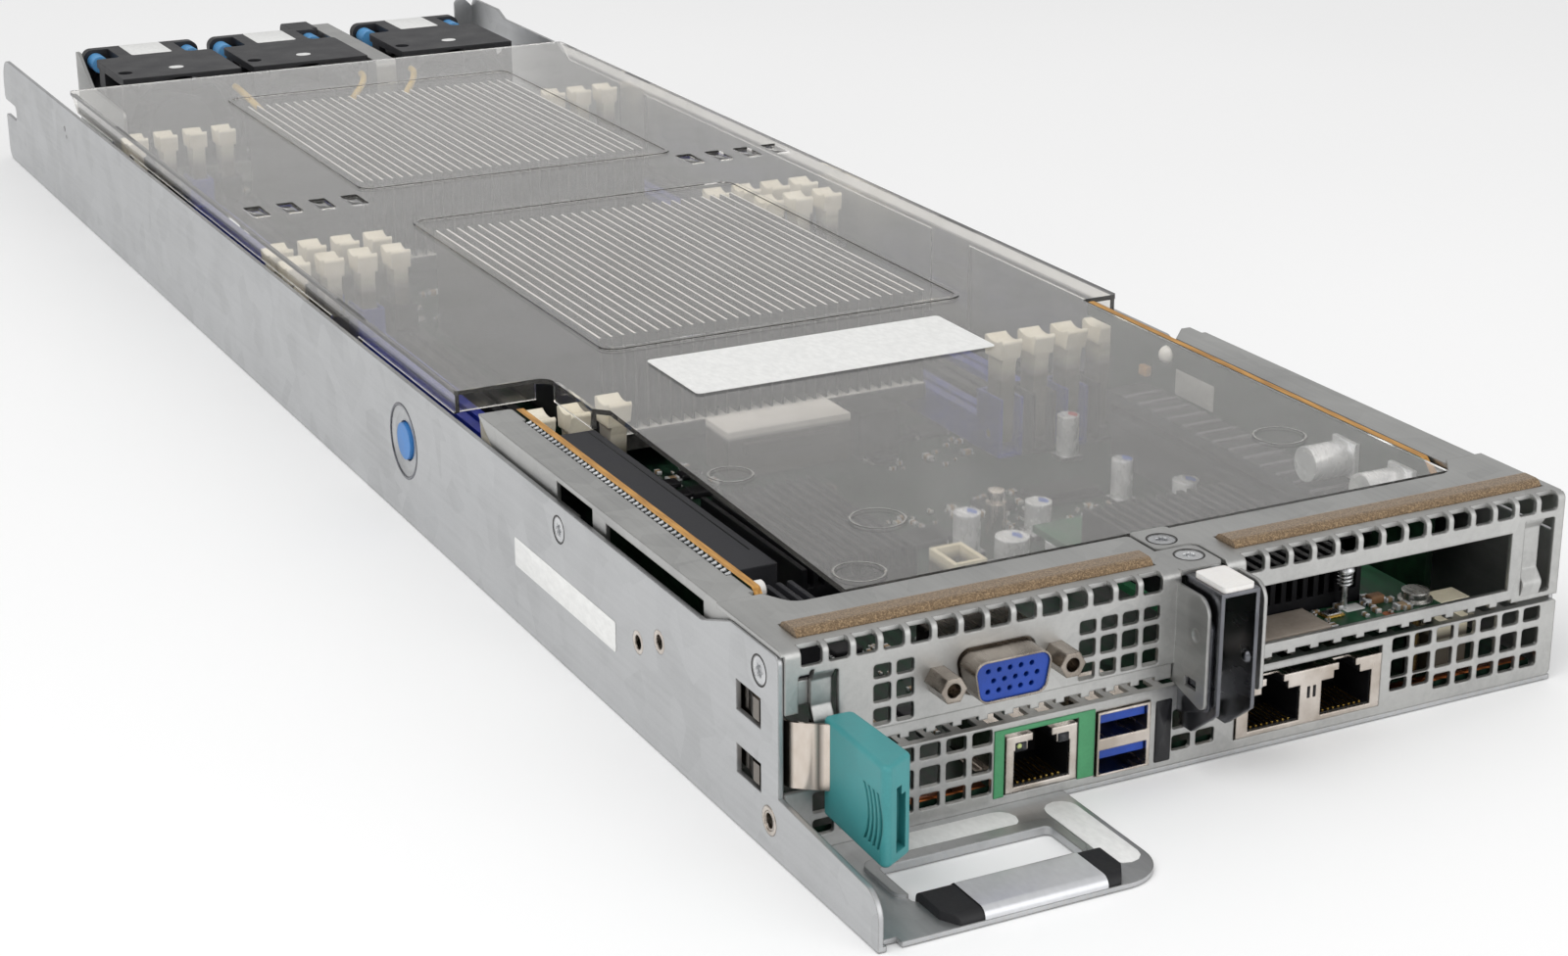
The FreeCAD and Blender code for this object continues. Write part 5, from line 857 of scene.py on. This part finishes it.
# Painted shade: black inlays stand in for the two slits of the twin shield.
steps = np.column_stack((TWIN_SLITS, (0, 0), (0, 0)))
slit_shades = slab(SLIT_LOW + steps, SLIT_HIGH + steps, corner=0.1, edge=0.02, facing="y")
make_piece("shell_slit_shades", [slit_shades], "core_black")
moulded("green_film", ("3f8a5c", "4b9a69"), (0.4, 0.55))
dress("green_film", "port_surround")
moulded("port_blue", ("0a3a94", "1246ae"), (0.32, 0.45))
dress("port_blue", "usb_core", "vga_insert")


# Fans: three double fans in black moulded frames at the rear, with two rotors each that turn
# opposite ways, held by soft blue grommets and a bent sheet bracket. A yellow lead runs from a
# header on the board to each fan; a bare dot of paper sits on each frame.

FAN_DOT = (1.1, 530.6)
DOT_HALF = (2.5, 2.0)
DOT_ROUND = 1.95
LEAD_RADIUS = 1.1
LEAD_LENGTHS = (0.0362, 0.0417, 0.0404)
LEAD_ROUTES = (((66.0, 497.0, 11.4), (66.0, 497.0, 24.0), (59.0, 511.0, 34.0), (59.0, 519.0, 34.0)),
               ((86.0, 497.0, 11.4), (86.0, 497.0, 24.0), (103.2, 511.0, 34.0), (103.2, 519.0, 34.0)),
               ((106.0, 497.0, 11.4), (106.0, 497.0, 24.0), (121.1, 511.0, 34.0), (121.1, 519.0, 34.0)))

moulded("fan_charcoal", ("1a1a1d", "26262a"), (0.4, 0.56))
moulded("rotor_black", ("121214", "1b1b1e"), (0.32, 0.45))
dress("fan_charcoal", "fan_housings", "rear_connector")
dress("rotor_black", *["fan_%d_%s_rotor" % (n, end) for n in (1, 2, 3) for end in ("front", "rear")])
moulded("grommet_blue", ("4a8fc8", "66a8dc"), (0.4, 0.55), Subsurface_Weight=0.1)
dress("grommet_blue", "fan_grommets")
dress("zinc_panel", "fan_bracket")
centres = np.add(FAN_DOT, [(x, 0.0) for x in FAN_CENTRES])
dot_low = np.column_stack((centres - DOT_HALF, np.full(len(centres), FAN_TOP)))
dot_high = np.column_stack((centres + DOT_HALF, np.full(len(centres), FAN_TOP + PAPER)))
make_piece("fan_dots", [slab(dot_low, dot_high, corner=DOT_ROUND, edge=0.05)], "bare_paper")
moulded("wire_yellow", ("b8952c", "d8b64c"), (0.4, 0.5))
for number, (route, length) in enumerate(zip(LEAD_ROUTES, LEAD_LENGTHS), 1):
    points = np.array(route) * MM + (LEFT_FACE, PANEL_FACE, 0)
    curve = bpy.data.curves.new("fan_lead_%d" % number, "CURVE")
    curve.dimensions = "3D"
    curve.bevel_depth = LEAD_RADIUS * MM
    line = curve.splines.new("NURBS")
    line.points.add(len(points) - 1)
    line.points.foreach_set("co", np.column_stack((points, np.ones(len(points)))).ravel())
    line.order_u = 3
    line.use_endpoint_u = True
    curve.materials.append(bpy.data.materials["wire_yellow"])
    lead = bpy.data.objects.new(curve.name, curve)
    bpy.context.scene.collection.objects.link(lead)
    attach(lead, "chassis")
    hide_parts("fan_leads")


# Air duct: a smoky clear sheet over board and heat sinks, formed with turned-down sides and low
# rims round the heat sinks; it lifts off upward. A bare white label is stuck on top, thin clear
# panes close the small windows over the rear memory sockets, and four faint rings mark the sheet.

DUCT_TOP = 40.5
DUCT_RINGS = ((33.0, 87.0, 4.6), (31.0, 28.0, 5.0), (47.5, 51.0, 5.5), (146.6, 55.0, 5.5))
RING_STEPS = np.array((-0.3, -0.1, 0.1, 0.3, -0.3))
RING_RISES = (0.01, 0.06, 0.06, 0.01, 0.01)
WINDOW_FIRSTS = (10.3, 141.2)
WINDOW_PITCH = 9.3
WINDOWS_PER_SIDE = 4
PANE_LOW = (-2.3, 330.7, DUCT_TOP - 0.9)
PANE_HIGH = (2.3, 341.3, DUCT_TOP - 0.5)

tree, shader, where = start_finish("smoky_sheet", Transmission_Weight=0.98, IOR=1.45)
haze = noise(tree, where, 60.0, 4.0)
tree.links.new(ramp(tree, haze, (0.35, "f0eeea"), (0.65, "f6f4f1")), shader.inputs["Base Color"])
tree.links.new(ramp(tree, haze, (0.3, 0.012), (0.7, 0.03)), shader.inputs["Roughness"])
set_relief(tree, shader, noise(tree, where, 14.0, 2.0), 0.0001)
clear = add_node(tree, "BsdfTransparent", Color=colour("f8f7f5"))
shadow = add_node(tree, "LightPath").outputs["Is Shadow Ray"]
mixed = add_node(tree, "MixShader", Fac=shadow)
tree.links.new(shader.outputs["BSDF"], mixed.inputs[1])
tree.links.new(clear.outputs["BSDF"], mixed.inputs[2])
tree.links.new(mixed.outputs["Shader"], tree.nodes["Material Output"].inputs["Surface"])
dress("smoky_sheet", "air_duct")
dress("bare_paper", "duct_label")
columns = np.add.outer(WINDOW_FIRSTS, WINDOW_PITCH * np.arange(WINDOWS_PER_SIDE)).ravel()
steps = np.column_stack((columns, 0 * columns, 0 * columns))
make_piece("duct_panes", [slab(PANE_LOW + steps, PANE_HIGH + steps, corner=0.4, edge=0.05)],
           "smoky_sheet", "duct")
rings = [turned(((x, y, DUCT_TOP),), "z", radius + RING_STEPS, RING_RISES, columns=48)
         for x, y, radius in DUCT_RINGS]
make_piece("duct_rings", rings, "smoky_sheet", "duct")


# Studio: pale floor, soft light all round, a large lamp from the upper left and a weaker one in
# front, and a camera at the place found from the photograph's vanishing lines and the port spacing.

FLOOR_SIZE = 8.0
FLOOR_DROP = 0.0002
AMBIENT = 0.7
CEILING = 0.6
LAMP_SIZE = 1.2
KEY_PLACE = (-0.9, -0.5, 1.3)
KEY_ENERGY = 9.0
FILL_PLACE = (0.5, -1.5, 0.5)
FILL_ENERGY = 6.0
EYE = (-0.29521, -0.69251, 0.24080)
AHEAD = (0.42526, 0.83770, -0.34265)
RIGHT = (0.89119, -0.45362, -0.00295)
FOCAL_PIXELS = 2932.7
PHOTO_WIDTH = 1600
SENSOR = 36.0

tree, shader, where = start_finish("pale_floor", Roughness=0.9)
pale = ramp(tree, noise(tree, where, 3.0, 2.0), (0.3, "fcfcfc"), (0.7, "fefefe"))
tree.links.new(pale, shader.inputs["Base Color"])
reach = FLOOR_SIZE / 2
floor_mesh = bpy.data.meshes.new("floor")
corners = ((-reach, -reach), (reach, -reach), (reach, reach), (-reach, reach))
floor_mesh.from_pydata([(x, y, -FLOOR_DROP) for x, y in corners], [], [(0, 1, 2, 3)])
floor_mesh.materials.append(bpy.data.materials["pale_floor"])
floor = bpy.data.objects.new("floor", floor_mesh)
bpy.context.scene.collection.objects.link(floor)

world = bpy.data.worlds.new("studio")
world.use_nodes = True
tree = world.node_tree
path = add_node(tree, "LightPath").outputs
sky = tree.nodes["Background"]
sky.inputs["Color"].default_value = (1, 1, 1, 1)
sky.inputs["Strength"].default_value = AMBIENT
backdrop = add_node(tree, "Background", Color=(1, 1, 1, 1), Strength=1.0)
ceiling = add_node(tree, "Background", Color=(1, 1, 1, 1), Strength=CEILING)
shown = sky.outputs["Background"]
straight = math_node(tree, "MAXIMUM", path["Is Camera Ray"], path["Is Transmission Ray"])
for ray, shade in ((path["Is Glossy Ray"], ceiling), (straight, backdrop)):
    mixed = add_node(tree, "MixShader", Fac=ray)
    tree.links.new(shown, mixed.inputs[1])
    tree.links.new(shade.outputs["Background"], mixed.inputs[2])
    shown = mixed.outputs["Shader"]
tree.links.new(shown, tree.nodes["World Output"].inputs["Surface"])
bpy.context.scene.world = world


def add_lamp(name, place, energy):
    """Square area lamp that looks at the middle of the node."""
    light = bpy.data.lights.new(name, "AREA")
    light.energy = energy
    light.size = LAMP_SIZE
    lamp = bpy.data.objects.new(name, light)
    lamp.location = place
    lamp.rotation_mode = "QUATERNION"
    lamp.rotation_quaternion = (-lamp.location).to_track_quat("-Z", "Y")
    bpy.context.scene.collection.objects.link(lamp)


add_lamp("key", KEY_PLACE, KEY_ENERGY)
add_lamp("front_fill", FILL_PLACE, FILL_ENERGY)

ahead = np.array(AHEAD) / np.linalg.norm(AHEAD)
right = np.array(RIGHT) - ahead * np.dot(RIGHT, ahead)
right /= np.linalg.norm(right)
stand = np.eye(4)
stand[:3, 0] = right
stand[:3, 1] = np.cross(right, ahead)
stand[:3, 2] = -ahead
stand[:3, 3] = EYE
lens = bpy.data.cameras.new("camera")
lens.sensor_width = SENSOR
lens.sensor_fit = "HORIZONTAL"
lens.lens = FOCAL_PIXELS * SENSOR / PHOTO_WIDTH
lens.clip_start = 0.01
camera = bpy.data.objects.new("camera", lens)
camera.matrix_world = Matrix(stand.tolist())
bpy.context.scene.collection.objects.link(camera)
bpy.context.scene.camera = camera
bpy.context.scene.view_settings.view_transform = "Standard"
